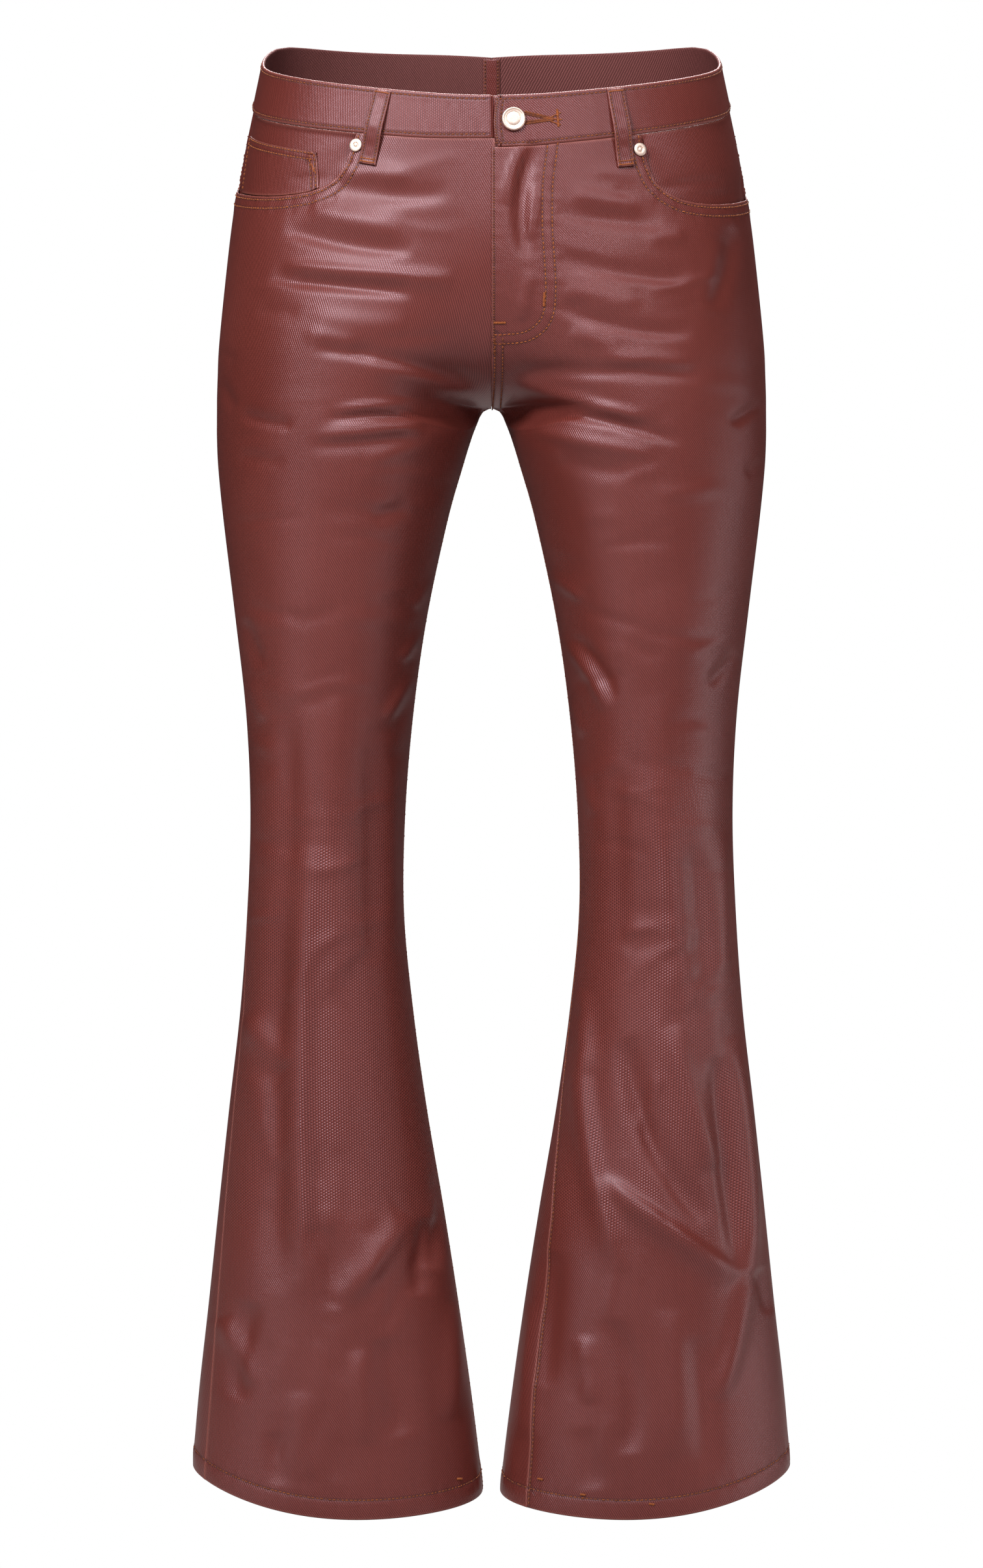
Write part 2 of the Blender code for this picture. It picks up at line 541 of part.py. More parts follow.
def yoke(name, side, material):
    a, b = np.meshgrid(np.linspace(0.0, 1.0, 15), np.linspace(0.0, 1.0, 4))
    side_grid = np.full(a.shape, float(side))
    turn = outseam(1.0, side) + a * (2.0 - outseam(1.0, side))
    yoke_turns, yoke_rows = zip(*YOKE_SEAM)
    foot = np.interp(1.0 + a, yoke_turns, yoke_rows)
    row = BAND_SEAM + b * (foot - BAND_SEAM)
    per_turn, per_row = steps(turn, row, side_grid)
    half = SEAM_GAP / 2
    turn = turn + half * per_turn * (1.0 - 2.0 * a)
    row = row + half * per_row * (1.0 - 2.0 * b)
    outer = lift(turn, row, side_grid, 0.0)
    inner = lift(turn, row, side_grid, -CLOTH)
    return wall(name, outer, inner, material, side < 0)


def facing_level(turn, row, side, flush):
    """Deep under the scooped edge, coming up towards the waistband and the side."""
    edge = front_top(turn, side)
    _, per_row = steps(turn, row, np.full(np.shape(turn), float(side)))
    above = (edge - row) / per_row
    return FACING_DEEP + (flush - FACING_DEEP) * smooth((above - 0.004) / SCOOP_SHADE)


def pocket_facing(name, side, material):
    flush = FACING_FLUSH if side > 0 else COIN_FLUSH
    turns, _ = scoop_line(side)
    columns = np.linspace(turns[0] - FACING_TURN, outseam(1.0, side), 17)
    a, b = np.meshgrid(columns, np.linspace(0.0, 1.0, 8))
    side_grid = np.full(a.shape, float(side))
    seam = band_foot(a, side)
    foot = front_top(a + FACING_TURN + 0.01, side) + FACING_ROWS
    row = seam + b * (foot - seam)
    per_turn, per_row = steps(a, row, side_grid)
    half = SEAM_GAP / 2
    turn = a - half * per_turn * (a > 1.0)
    row = row + half * per_row * (b == 0.0)
    level = facing_level(turn, row, side, flush)
    outer = lift(turn, row, side_grid, level)
    inner = lift(turn, row, side_grid, level - CLOTH)
    return wall(name, outer, inner, material, side < 0)


def coin_pocket(name, side, material):
    """The small pocket on the facing, cut off along the scooped edge."""
    turns, rows = locate([COIN_TOP[0][0], COIN_TOP[1][0]], [COIN_TOP[0][1], COIN_TOP[1][1]])
    a, b = np.meshgrid(np.linspace(0.0, 1.0, 9), np.linspace(0.0, 1.0, 6))
    side_grid = np.full(a.shape, float(side))
    top_turn = turns[1] + a * (turns[0] - turns[1])
    top_row = rows[1] + a * (rows[0] - rows[1])
    foot_turn, _ = locate(COIN_FEET, [-0.0785, -0.0800])
    low_turn = foot_turn[1] + a * (foot_turn[0] - foot_turn[1])
    _, per_row = steps(low_turn, front_top(low_turn, side), side_grid)
    low_row = front_top(low_turn, side) - 2.0 * SEAM_GAP * per_row
    turn = top_turn + b * (low_turn - top_turn)
    row = top_row + b * (low_row - top_row)
    level = facing_level(turn, row, side, COIN_FLUSH) + SEAM_GAP
    outer = lift(turn, row, side_grid, level + POCKET_WALL)
    inner = lift(turn, row, side_grid, level)
    return wall(name, outer, inner, material, side < 0)


def waistband(name, side, material):
    """One half of the waistband. The wearer's right half runs on under the left one's end."""
    end = 2.0
    half = SEAM_GAP / 2
    if side > 0:
        start = np.linspace(LAP_START, 0.50, 10)
    else:
        start = np.concatenate([UNDERLAP_TURNS, np.linspace(0.16, 0.50, 5)])
    signed = np.concatenate([start, np.linspace(0.58, end, 18)])
    a, b = np.meshgrid(signed, np.linspace(0.0, 1.0, 4))
    side_grid = np.where(a < 0.0, -float(side), float(side))
    turn = np.abs(a)
    row = b * band_foot(turn, side)
    per_turn, per_row = steps(turn, row, side_grid)
    turn = turn - half * per_turn * (a == end)
    row = row - half * per_row * (b == 1.0)
    past = a / per_turn
    level = np.full(a.shape, BAND_PROUD)
    if side < 0:
        under = BAND_PROUD - BAND - UNDERLAP_GAP
        come_up = (past - UNDERLAP_STEP[0]) / (UNDERLAP_STEP[1] - UNDERLAP_STEP[0])
        level = under + (BAND_PROUD - under) * smooth(come_up)
    outer = lift(turn, row, side_grid, level)
    inner = lift(turn, row, side_grid, level - BAND)
    return wall(name, outer, inner, material, side < 0)


def loop(name, face, top_x, top_z, foot_x, foot_z, material):
    """A belt loop: a strip over the waistband, raised in the middle and flat at its ends."""
    a, b = np.meshgrid(np.linspace(-0.5, 0.5, 4), np.linspace(0.0, 1.0, 15))
    x = top_x + b * (foot_x - top_x) + a * LOOP_WIDTH
    z = top_z + b * (foot_z - top_z) + a * LOOP_WIDTH * (foot_x - top_x) / (top_z - foot_z)
    side_grid = np.where(x < 0.0, -1.0, 1.0)
    turn, row = locate(np.abs(x), z, face > 0)
    _, per_row = steps(turn, row, side_grid)
    seam = band_foot(turn, side_grid) if face < 0 else BAND_SEAM
    below = ((row - seam) / per_row - LOOP_STEP[0]) / (LOOP_STEP[1] - LOOP_STEP[0])
    seat = BAND_PROUD + SEAM_GAP - (BAND_PROUD - LAY_GAP + SEAM_GAP) * smooth(below)
    level = seat + LOOP_RISE * np.sin(math.pi * smooth(b)) ** 1.5
    outer = lift(turn, row, side_grid, level + LOOP_WALL)
    inner = lift(turn, row, side_grid, level)
    return wall(name, outer, inner, material, face > 0)


def back_strip(name, material):
    """The strip inside the waistband over its centre seam."""
    a, b = np.meshgrid(np.linspace(-0.5, 0.5, 5), np.linspace(0.04, 0.97, 5))
    side_grid = np.where(a < 0.0, -1.0, 1.0)
    per_turn, _ = steps(np.full(a.shape, 1.99), b, side_grid)
    turn = 2.0 - np.abs(a) * STRIP_WIDTH * per_turn
    inside = BAND_PROUD - BAND - SEAM_GAP
    outer = lift(turn, b, side_grid, inside)
    inner = lift(turn, b, side_grid, inside - CLOTH)
    return wall(name, outer, inner, material, True)


def back_pocket(name, side, material):
    """A patch pocket made from the back panel's points, moved out."""
    outer_top, inner_top, outer_low, inner_low = (np.array(c) for c in POCKET_CORNERS)
    a, b = np.meshgrid(np.linspace(0.0, 1.0, 11), np.linspace(0.0, 1.0, 10))
    top = outer_top + a[..., None] * (inner_top - outer_top)
    low = outer_low + a[..., None] * (inner_low - outer_low)
    low[..., 1] -= POCKET_POINT * (1.0 - np.abs(2.0 * a - 1.0))
    seen = top + b[..., None] * (low - top)
    turn, row = locate(seen[..., 0], seen[..., 1], True)
    side_grid = np.full(a.shape, float(side))
    outer = lift(turn, row, side_grid, LAY_GAP + POCKET_WALL)
    inner = lift(turn, row, side_grid, LAY_GAP)
    return wall(name, outer, inner, material, side < 0)


def place_frame(x, z, side, level):
    """Origin, two tangents and normal of a place on the front."""
    turn, row = locate([x], [z])
    side_grid = np.array([float(side)])
    origin = lift(turn, row, side_grid, level)[0]
    normal = grid_normals(cloth, turn, row, side_grid)[0]
    right = unit(np.cross(normal, np.array([0.0, 0.0, -1.0])))
    return origin, right, np.cross(normal, right), normal


def turned_solid(name, profile, place, material):
    """A solid of revolution about a place's normal; the profile is (radius, height) from the
    middle of its foot to the middle of its top."""
    origin, right, up, normal = place
    angle = np.linspace(0.0, 2.0 * math.pi, ROUND_STEPS, endpoint=False)
    rings = [origin + normal * profile[0][1]]
    for radius, height in profile[1:-1]:
        rings.extend(origin + normal * height
                     + radius * (np.cos(angle)[:, None] * right + np.sin(angle)[:, None] * up))
    rings.append(origin + normal * profile[-1][1])
    last = len(rings) - 1
    count = len(profile) - 2
    faces = []
    for n in range(ROUND_STEPS):
        following = (n + 1) % ROUND_STEPS
        faces.append((0, 1 + following, 1 + n))
        for ring in range(count - 1):
            low, high = 1 + ring * ROUND_STEPS, 1 + (ring + 1) * ROUND_STEPS
            faces.append((low + n, low + following, high + following, high + n))
        top = 1 + (count - 1) * ROUND_STEPS
        faces.append((top + n, top + following, last))
    return mesh_object(name, rings, faces, material)


def rivet(name, side, x, z, material):
    place = place_frame(x, z, side, LAY_GAP)
    r, h = RIVET_RADIUS, RIVET_HEIGHT
    profile = ((0, 0), (r, 0), (r, 0.35 * h), (0.82 * r, 0.85 * h), (0.55 * r, h),
               (0.42 * r, 0.62 * h), (0.30 * r, 0.62 * h), (0.22 * r, 0.95 * h), (0, 1.05 * h))
    return turned_solid(name, profile, place, material)


def button(name, material):
    """The shank button: its foot rests on the underlap and its cap covers the keyhole's eye."""
    foot = BAND_PROUD - BAND - UNDERLAP_GAP + LAY_GAP
    place = place_frame(BUTTON_AT[0], BUTTON_AT[1], 1, foot)
    cap = BAND_PROUD + LAY_GAP - foot
    r, h = BUTTON_RADIUS, BUTTON_CAP
    profile = ((0, 0), (SHANK_RADIUS, 0), (SHANK_RADIUS, cap), (0.90 * r, cap), (r, cap + 0.3 * h),
               (0.985 * r, cap + 0.62 * h), (0.86 * r, cap + h), (0.60 * r, cap + 0.84 * h),
               (0.52 * r, cap + 0.70 * h), (0, cap + 0.76 * h))
    return turned_solid(name, profile, place, material)


def keyhole_cutter(material):
    """The buttonhole's round eye and slot, as a prism through the waistband."""
    origin, right, up, normal = place_frame(BUTTON_AT[0], BUTTON_AT[1], 1, 0.0)
    half = SLOT_WIDTH / 2
    opening = math.asin(half / EYE_RADIUS)
    eye = np.linspace(opening, 2.0 * math.pi - opening, 14)
    outline = [(EYE_RADIUS * math.cos(t), EYE_RADIUS * math.sin(t)) for t in eye]
    far = np.linspace(-math.pi / 2, math.pi / 2, 5)
    outline += [(SLOT_LENGTH + half * math.cos(t), half * math.sin(t)) for t in far]
    reach = 0.006
    count = len(outline)
    points = [origin + right * x + up * y + normal * h for h in (-reach, reach) for x, y in outline]
    faces = [tuple(range(count))[::-1], tuple(range(count, 2 * count))]
    faces += [(n, (n + 1) % count, count + (n + 1) % count, count + n) for n in range(count)]
    cutter = mesh_object("buttonhole_cutter", points, faces, material)
    cutter.hide_render = True
    cutter.display_type = "WIRE"
    return cutter


def main():
    clear_scene()
    twill = make_material("coated_twill", (0.22, 0.055, 0.050), 0.42, 0.0, 0.3)
    lining = make_material("twill_inside", (0.17, 0.045, 0.043), 0.7, 0.0)
    metal = make_material("rose_metal", (0.86, 0.74, 0.68), 0.25, 1.0)

    for word, side in (("left", 1), ("right", -1)):
        front_panel(f"front_panel_{word}", side, twill)
        back_panel(f"back_panel_{word}", side, twill)
        yoke(f"back_yoke_{word}", side, twill)
        pocket_facing(f"pocket_facing_{word}", side, twill)
        back_pocket(f"back_pocket_{word}", side, twill)
    coin_pocket("coin_pocket", -1, twill)
    for name, face, top_x, top_z, foot_x, foot_z in LOOPS:
        loop(name, face, top_x, top_z, foot_x, foot_z, twill)
    back_strip("back_strip", lining)
    for name, side, x, z in RIVETS:
        rivet(name, side, x, z, metal)
    button("shank_button", metal)

    waistband("waistband_right", -1, twill)
    lapped = waistband("waistband_left", 1, twill)
    buttonhole = lapped.modifiers.new("buttonhole", "BOOLEAN")
    buttonhole.operation = "DIFFERENCE"
    buttonhole.solver = "EXACT"
    buttonhole.object = keyhole_cutter(twill)


main()
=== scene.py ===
import math

import bpy
import numpy as np
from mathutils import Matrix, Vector


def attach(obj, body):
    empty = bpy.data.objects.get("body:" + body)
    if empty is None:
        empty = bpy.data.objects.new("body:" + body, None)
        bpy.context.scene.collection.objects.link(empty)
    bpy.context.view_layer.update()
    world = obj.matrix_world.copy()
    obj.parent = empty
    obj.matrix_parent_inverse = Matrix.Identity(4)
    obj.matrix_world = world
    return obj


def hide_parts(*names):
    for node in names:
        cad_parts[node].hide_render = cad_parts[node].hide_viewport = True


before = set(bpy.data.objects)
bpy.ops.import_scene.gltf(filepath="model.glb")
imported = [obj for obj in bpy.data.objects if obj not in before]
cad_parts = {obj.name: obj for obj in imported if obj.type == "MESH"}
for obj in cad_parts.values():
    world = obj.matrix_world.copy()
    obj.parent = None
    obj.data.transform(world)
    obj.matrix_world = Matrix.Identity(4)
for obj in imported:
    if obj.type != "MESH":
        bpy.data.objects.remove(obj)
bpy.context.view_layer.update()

print("frame loaded:", len(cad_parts), "cut pieces")

# Coated flared jeans, filled out as worn. Metres, +Z up, the front faces -Y and +X is the
# wearer's left. A place on the cloth is a turn (0 front centre, 1 side, 2 back centre) and a row
# (0 at the waistband's top edge, 1 at its seam, 8 at the crotch, 23 at the hem).

mm = 0.001
crotchRow, hemRow, bandRow = 8, 23, 1.0
hipRows = 4.0  # rows over which the shape of a top edge fades down a piece
sizes = {
    "cloth": 1.2 * mm, "band": 2.4 * mm, "hemWall": 2.3 * mm, "hemDepth": 19 * mm, "seamGap": 0.3 * mm,
    "bandProud": 0.9 * mm, "flyProud": 1.1 * mm, "flyWidth": 42 * mm, "flyFlat": 12 * mm,
    "lapRows": 0.10, "lapStart": 0.012, "underlap": 0.8 * mm,
}

# Sections from the waistband's top edge to the hem: the outline at the side, then the foremost
# and rearmost points of each row and how far they lie below or above the side.
sections = np.array((
    # sideZ    sideX   sideY   frontX  frontY   frontDz  backX   backY   backDz
    (0.0174, 0.1717, 0.000, 0.055, -0.1030, -0.0310, 0.055, 0.0990, 0.0156),
    (-0.0174, 0.1792, 0.001, 0.057, -0.1065, -0.0316, 0.058, 0.1050, 0.0156),
    (-0.0502, 0.1862, 0.002, 0.060, -0.1090, -0.0280, 0.064, 0.1130, 0.0130),
    (-0.0937, 0.1942, 0.003, 0.066, -0.1115, -0.0210, 0.072, 0.1220, 0.0090),
    (-0.1420, 0.2000, 0.004, 0.078, -0.1130, -0.0120, 0.080, 0.1280, 0.0040),
    (-0.1903, 0.2046, 0.004, 0.093, -0.1130, -0.0050, 0.092, 0.1270, 0.0000),
    (-0.2145, 0.2056, 0.004, 0.098, -0.1120, -0.0020, 0.096, 0.1210, -0.0010),
    (-0.2289, 0.2060, 0.004, 0.101, -0.1110, 0.0000, 0.099, 0.1170, -0.0010),
    (-0.2376, 0.2060, 0.004, 0.103, -0.1105, 0.0000, 0.101, 0.1145, 0.0000),
    (-0.2415, 0.2060, 0.004, 0.104, -0.1100, 0.0000, 0.102, 0.1130, 0.0000),
    (-0.2483, 0.2060, 0.004, 0.105, -0.1095, 0.0000, 0.103, 0.1110, 0.0000),
    (-0.2603, 0.2059, 0.004, 0.106, -0.1085, 0.0000, 0.105, 0.1070, 0.0000),
    (-0.2821, 0.2048, 0.003, 0.108, -0.1065, 0.0000, 0.107, 0.1010, 0.0000),
    (-0.3207, 0.2007, 0.002, 0.113, -0.1025, 0.0000, 0.112, 0.0920, 0.0000),
    (-0.3932, 0.1915, 0.000, 0.119, -0.0935, 0.0000, 0.118, 0.0790, 0.0000),
    (-0.4656, 0.1831, -0.003, 0.1205, -0.0845, 0.0000, 0.120, 0.0700, 0.0000),
    (-0.5381, 0.1799, -0.006, 0.1220, -0.0770, 0.0000, 0.122, 0.0640, 0.0000),
    (-0.6105, 0.1823, -0.006, 0.1235, -0.0710, 0.0000, 0.123, 0.0630, 0.0000),
    (-0.6830, 0.1876, -0.003, 0.1230, -0.0690, -0.0020, 0.122, 0.0660, 0.0000),
    (-0.7554, 0.1961, 0.000, 0.1220, -0.0690, -0.0060, 0.121, 0.0710, -0.0010),
    (-0.8279, 0.2041, 0.002, 0.1200, -0.0705, -0.0110, 0.119, 0.0750, -0.0030),
    (-0.9003, 0.2118, 0.002, 0.1180, -0.0735, -0.0170, 0.117, 0.0780, -0.0050),
    (-0.9631, 0.2190, 0.001, 0.1165, -0.0755, -0.0250, 0.115, 0.0790, -0.0080),
    (-1.0206, 0.2239, 0.000, 0.1145, -0.0770, -0.0335, 0.113, 0.0800, -0.0110),
))
rise = np.array((  # the centre seam down to the crotch: frontY, frontZ, backY, backZ
    (-0.1070, -0.0165, 0.0980, 0.0350), (-0.1100, -0.0515, 0.1040, 0.0000),
    (-0.1120, -0.0830, 0.1115, -0.0360), (-0.1125, -0.1180, 0.1195, -0.0840),
    (-0.1075, -0.1570, 0.1215, -0.1370), (-0.0920, -0.1970, 0.1040, -0.1900),
    (-0.0660, -0.2215, 0.0720, -0.2205), (-0.0360, -0.2335, 0.0370, -0.2335),
    (-0.0020, -0.2376, -0.0020, -0.2376),
))
innerLeg = np.array((  # the inner side of the leg, x y z, from the crotch to the hem
    (0.0000, -0.002, -0.2376), (0.0065, -0.002, -0.2402), (0.0104, -0.002, -0.2483),
    (0.0150, -0.001, -0.2603), (0.0217, 0.000, -0.2821), (0.0326, 0.000, -0.3207),
    (0.0481, 0.000, -0.3932), (0.0582, -0.002, -0.4656), (0.0640, -0.004, -0.5381),
    (0.0650, -0.004, -0.6105), (0.0582, -0.002, -0.6835), (0.0479, 0.000, -0.7580),
    (0.0352, 0.002, -0.8330), (0.0234, 0.002, -0.9090), (0.0140, 0.001, -0.9760),
    (0.0062, 0.000, -1.0404),
))
seamRows = (0, 7, 8, 10, 12, 16, 18, 20, 22, 23)  # how the seams turn with the legs, by row
outseamTurns = {1: (1.03, 1.03, 1.03, 1.03, 1.02, 1.00, 1.00, 1.00, 1.00, 1.00),
                -1: (1.03, 1.03, 1.03, 1.03, 1.02, 1.00, 0.90, 0.885, 0.86, 0.86)}
inseamTurns = {1: (0.0, 0.0, 0.0, 0.0, 0.0, 0.0, 0.03, 0.14, 0.17, 0.18), -1: (0.0,) * 10}

# Creases, in millimetres as seen from the front or the back: start x z, end x z, bow, width,
# height (a trough where negative), lean (how much wider its far side is).
frontCreases = (
    # wearer's right hip
    (-118, -81, -30, -88, -5, 9, -1.8, 0.2), (-114, -73, -58, -76, 2, 8, 1.3, 0.0),
    (-151, -111, -56, -130, -5, 8, -2.5, 0.3), (-134, -96, -66, -116, -1, 9, 1.9, 0.0),
    (-162, -147, -56, -160, -1, 8, -2.9, 0.3), (-152, -139, -26, -150, -2, 8, 2.4, -0.2),
    (-132, -176, -60, -183, -3, 10, 1.0, 0.0), (-172, -170, -140, -174, 0, 8, -0.9, 0.0),
    (-127, -200, -83, -205, -1, 7, -1.5, 0.3), (-136, -188, -96, -199, 0, 8, 1.3, 0.0),
    (-106, -203, -5, -225, 1, 7, -2.1, 0.3), (-92, -214, -18, -231, 2, 8, 1.0, 0.0),
    (-116, -247, -5, -244, 5, 5.5, 2.9, -0.2), (-120, -252, -38, -247, 1, 5, -2.7, 0.3),
    (-127, -263, -48, -254, -2, 6, 1.8, 0.0), (-134, -271, -58, -263, -2, 7, -1.3, 0.0),
    (-92, -284, -38, -268, 2, 8, 1.0, 0.0), (-184, -246, -144, -256, -2, 6, -1.7, 0.3),
    (-201, -219, -189, -241, 0, 5, -2.0, 0.0), (-204, -196, -188, -206, 0, 6, -1.0, 0.0),
    (-186, -276, -150, -283, 0, 7, -0.9, 0.0),
    # fly and wearer's left hip
    (30, -50, 25, -136, -7, 6.5, -3.5, 0.2), (27, -52, 12, -98, -4, 5.5, 2.3, 0.0),
    (32, -82, 28, -122, 0, 5, 1.9, 0.0), (28, -144, 22, -180, 0, 6, 1.4, 0.0),
    (45, -102, 124, -110, -1, 8, -2.0, 0.3), (58, -88, 108, -98, 0, 8, 1.6, 0.0),
    (89, -85, 108, -91, 0, 5, -0.9, 0.0), (112, -120, 142, -117, 0, 7, 1.1, 0.0),
    (47, -137, 144, -149, -3, 8, -2.2, 0.3), (52, -159, 108, -167, 0, 9, 1.6, 0.0),
    (49, -171, 147, -188, -7, 7, -2.0, 0.3), (56, -189, 94, -199, 0, 8, 1.3, 0.0),
    (179, -106, 160, -170, 2, 9, -2.1, 0.0), (168, -120, 152, -176, 2, 9, 1.0, 0.0),
    (13, -216, 154, -220, 0, 7, -1.9, 0.2), (78, -207, 148, -211, 0, 7, 1.4, 0.0),
    (20, -224, 110, -252, 1, 6, 2.5, -0.2), (8, -237, 138, -269, 2, 6, -2.9, 0.3),
    (30, -257, 120, -277, -2, 7, 1.8, 0.0), (48, -279, 104, -291, -2, 8, -1.2, 0.0),
    (175, -253, 201, -235, 0, 5, -1.7, 0.0), (187, -290, 203, -278, 0, 5, -1.3, 0.0),
    # knees
    (-67, -426, -50, -403, 0, 5, 1.4, -0.2), (-60, -430, -46, -410, 0, 5, -1.3, 0.0),
    (-58, -387, -43, -366, 0, 5, 1.2, 0.0), (-79, -471, -55, -435, 1, 6, 1.4, -0.2),
    (-70, -474, -53, -446, 0, 6, -1.2, 0.0), (-86, -325, -60, -311, 0, 7, -0.9, 0.0),
    (-183, -395, -169, -431, 0, 6, -1.3, 0.0), (-180, -440, -166, -470, 0, 7, 0.9, 0.0),
    (49, -407, 85, -463, 4, 6, 1.6, 0.0), (58, -408, 90, -456, 4, 6, -1.3, 0.0),
    (42, -363, 68, -381, 0, 5, 1.2, 0.0), (55, -453, 68, -481, 0, 5, 1.1, 0.0),
    (159, -444, 181, -419, 0, 6, -1.3, 0.0), (62, -500, 76, -540, 0, 6, 0.8, 0.0),
    # wearer's right lower leg
    (-118, -450, -116, -680, 0, 17, 1.9, 0.0), (-149, -460, -150, -600, 0, 12, -1.8, 0.0),
    (-88, -470, -87, -650, 0, 10, -1.3, 0.0), (-72, -480, -72, -640, 0, 7, 0.8, 0.0),
    (-131, -548, -135, -892, -8, 14, 3.1, -0.2), (-148, -580, -156, -890, -6, 14, -2.7, 0.0),
    (-64, -832, -114, -896, 4, 12, 2.5, -0.1), (-124, -838, -112, -900, 2, 11, -1.9, 0.0),
    (-47, -836, -54, -892, 0, 9, -2.5, 0.0), (-33, -798, -44, -874, 0, 9, -2.5, 0.0),
    (-40, -815, -48, -880, 0, 6, 1.3, 0.0), (-176, -896, -187, -970, -3, 11, -2.3, 0.0),
    (-198, -910, -175, -957, 0, 10, 1.7, 0.0), (-82, -922, -66, -994, 2, 11, -2.0, 0.0),
    (-100, -930, -92, -1000, 0, 10, 1.4, 0.0), (-182, -688, -150, -725, 0, 12, 1.5, 0.0),
    (-172, -730, -160, -800, 0, 12, 1.2, 0.0), (-24, -900, -30, -985, 0, 10, 1.6, 0.0),
    (-140, -960, -134, -1025, 0, 12, 1.2, 0.0), (-160, -990, -156, -1030, 0, 9, -1.2, 0.0),
    # wearer's left lower leg
    (117, -450, 141, -684, -3, 16, 1.9, 0.0), (148, -560, 157, -668, 0, 10, -1.6, 0.0),
    (171, -550, 171, -664, 0, 8, 1.2, 0.0), (90, -500, 94, -640, 0, 10, -1.2, 0.0),
    (67, -668, 73, -730, 0, 7, 1.2, 0.0), (67, -688, 96, -874, -9, 10, 3.0, -0.3),
    (80, -804, 181, -879, 0, 10, 3.3, -0.3), (98, -702, 158, -839, -13, 11, -3.5, 0.2),
    (132, -692, 164, -800, -3, 11, 2.9, 0.0), (165, -715, 185, -874, -2, 9, -3.7, 0.0),
    (177, -702, 189, -884, 7, 9, 2.9, 0.0), (188, -878, 166, -968, 3, 9, 2.2, 0.0),
    (197, -874, 206, -908, 0, 6, -1.7, 0.0), (88, -908, 101, -1006, 8, 11, -2.4, 0.0),
    (68, -920, 72, -970, 0, 10, 1.5, 0.0), (66, -988, 75, -1032, 0, 12, -1.1, 0.0),
    (130, -900, 134, -1010, 3, 13, 1.6, 0.0), (46, -860, 38, -960, 0, 11, -1.8, 0.0),
    (30, -900, 24, -1000, 0, 10, 1.4, 0.0), (150, -920, 158, -1020, 0, 11, -1.6, 0.0),
)
backCreases = (
    # seat and back of the thighs
    (14, -231, 152, -262, -8, 9, -3.0, 0.3), (-14, -232, -157, -268, 8, 9, -3.0, 0.3),
    (22, -222, 128, -244, -7, 9, 2.0, 0.0), (-22, -224, -132, -250, 7, 9, 2.0, 0.0),
    (28, -262, 142, -301, -6, 9, -2.4, 0.2), (-30, -265, -152, -308, 6, 9, -2.4, 0.2),
    (40, -252, 130, -280, -6, 8, 1.5, 0.0), (-42, -256, -138, -288, 6, 8, 1.5, 0.0),
    (60, -318, 150, -332, -4, 9, -1.3, 0.0), (-56, -326, -146, -336, 4, 9, -1.3, 0.0),
    (8, -60, 60, -74, 2, 9, -1.3, 0.0), (-8, -62, -66, -80, -2, 9, -1.2, 0.0),
    (150, -90, 178, -130, 3, 9, -1.5, 0.0), (-150, -96, -176, -140, -3, 9, -1.4, 0.0),
    # behind the knees
    (72, -505, 170, -522, -6, 8, -2.2, 0.2), (-70, -512, -168, -508, 6, 8, -2.2, 0.2),
    (74, -520, 172, -545, -6, 9, 2.2, 0.0), (-72, -528, -170, -520, 6, 9, 2.2, 0.0),
    (76, -548, 164, -566, -5, 8, -2.4, 0.2), (-74, -552, -166, -556, 5, 8, -2.4, 0.2),
    (80, -566, 168, -592, -6, 9, 1.8, 0.0), (-76, -574, -166, -584, 6, 9, 1.8, 0.0),
    (90, -600, 150, -622, -3, 9, -1.5, 0.0), (-88, -606, -156, -616, 3, 9, -1.4, 0.0),
    (64, -470, 110, -480, 0, 8, 1.2, 0.0), (-62, -462, -104, -478, 0, 8, 1.2, 0.0),
    # flares
    (110, -630, 100, -950, 6, 15, 3.6, -0.2), (-112, -640, -104, -960, -6, 15, 3.6, -0.2),
    (136, -680, 132, -930, 5, 12, -2.2, 0.0), (-138, -670, -136, -920, -5, 12, -2.2, 0.0),
    (162, -716, 180, -1004, 4, 13, -3.0, 0.0), (-160, -696, -178, -1004, -4, 13, -3.0, 0.0),
    (186, -760, 198, -960, 0, 11, 1.8, 0.0), (-184, -740, -200, -950, 0, 11, 1.8, 0.0),
    (70, -756, 50, -1004, 4, 13, -2.8, 0.0), (-70, -776, -52, -1004, -4, 13, -2.8, 0.0),
    (88, -840, 74, -1010, 2, 11, 1.8, 0.0), (-86, -850, -76, -1010, -2, 11, 1.8, 0.0),
    (30, -840, 24, -980, 0, 11, 1.8, 0.0), (-32, -850, -26, -990, 0, 11, 1.8, 0.0),
)


def smooth(x):
    # 0 below 0, 1 above 1 and an S-curve between
    x = np.clip(x, 0.0, 1.0)
    return x * x * (3.0 - 2.0 * x)


def spline(table, at):
    # cubic between a table's rows, its slope at a row the mean of the steps beside it
    at = np.clip(at, 0.0, len(table) - 1.0)
    row = np.minimum(at.astype(int), len(table) - 2)
    t = (at - row)[..., None]
    slope = np.gradient(table, axis=0, edge_order=2)
    start, end = table[row], table[row + 1]
    return (start + (end - start) * t * t * (3.0 - 2.0 * t)
            + slope[row] * t * (1.0 - t) ** 2 - slope[row + 1] * t * t * (1.0 - t))


def unit(vectors):
    # each vector over its own length
    return vectors / np.maximum(np.linalg.norm(vectors, axis=-1, keepdims=True), 1e-12)


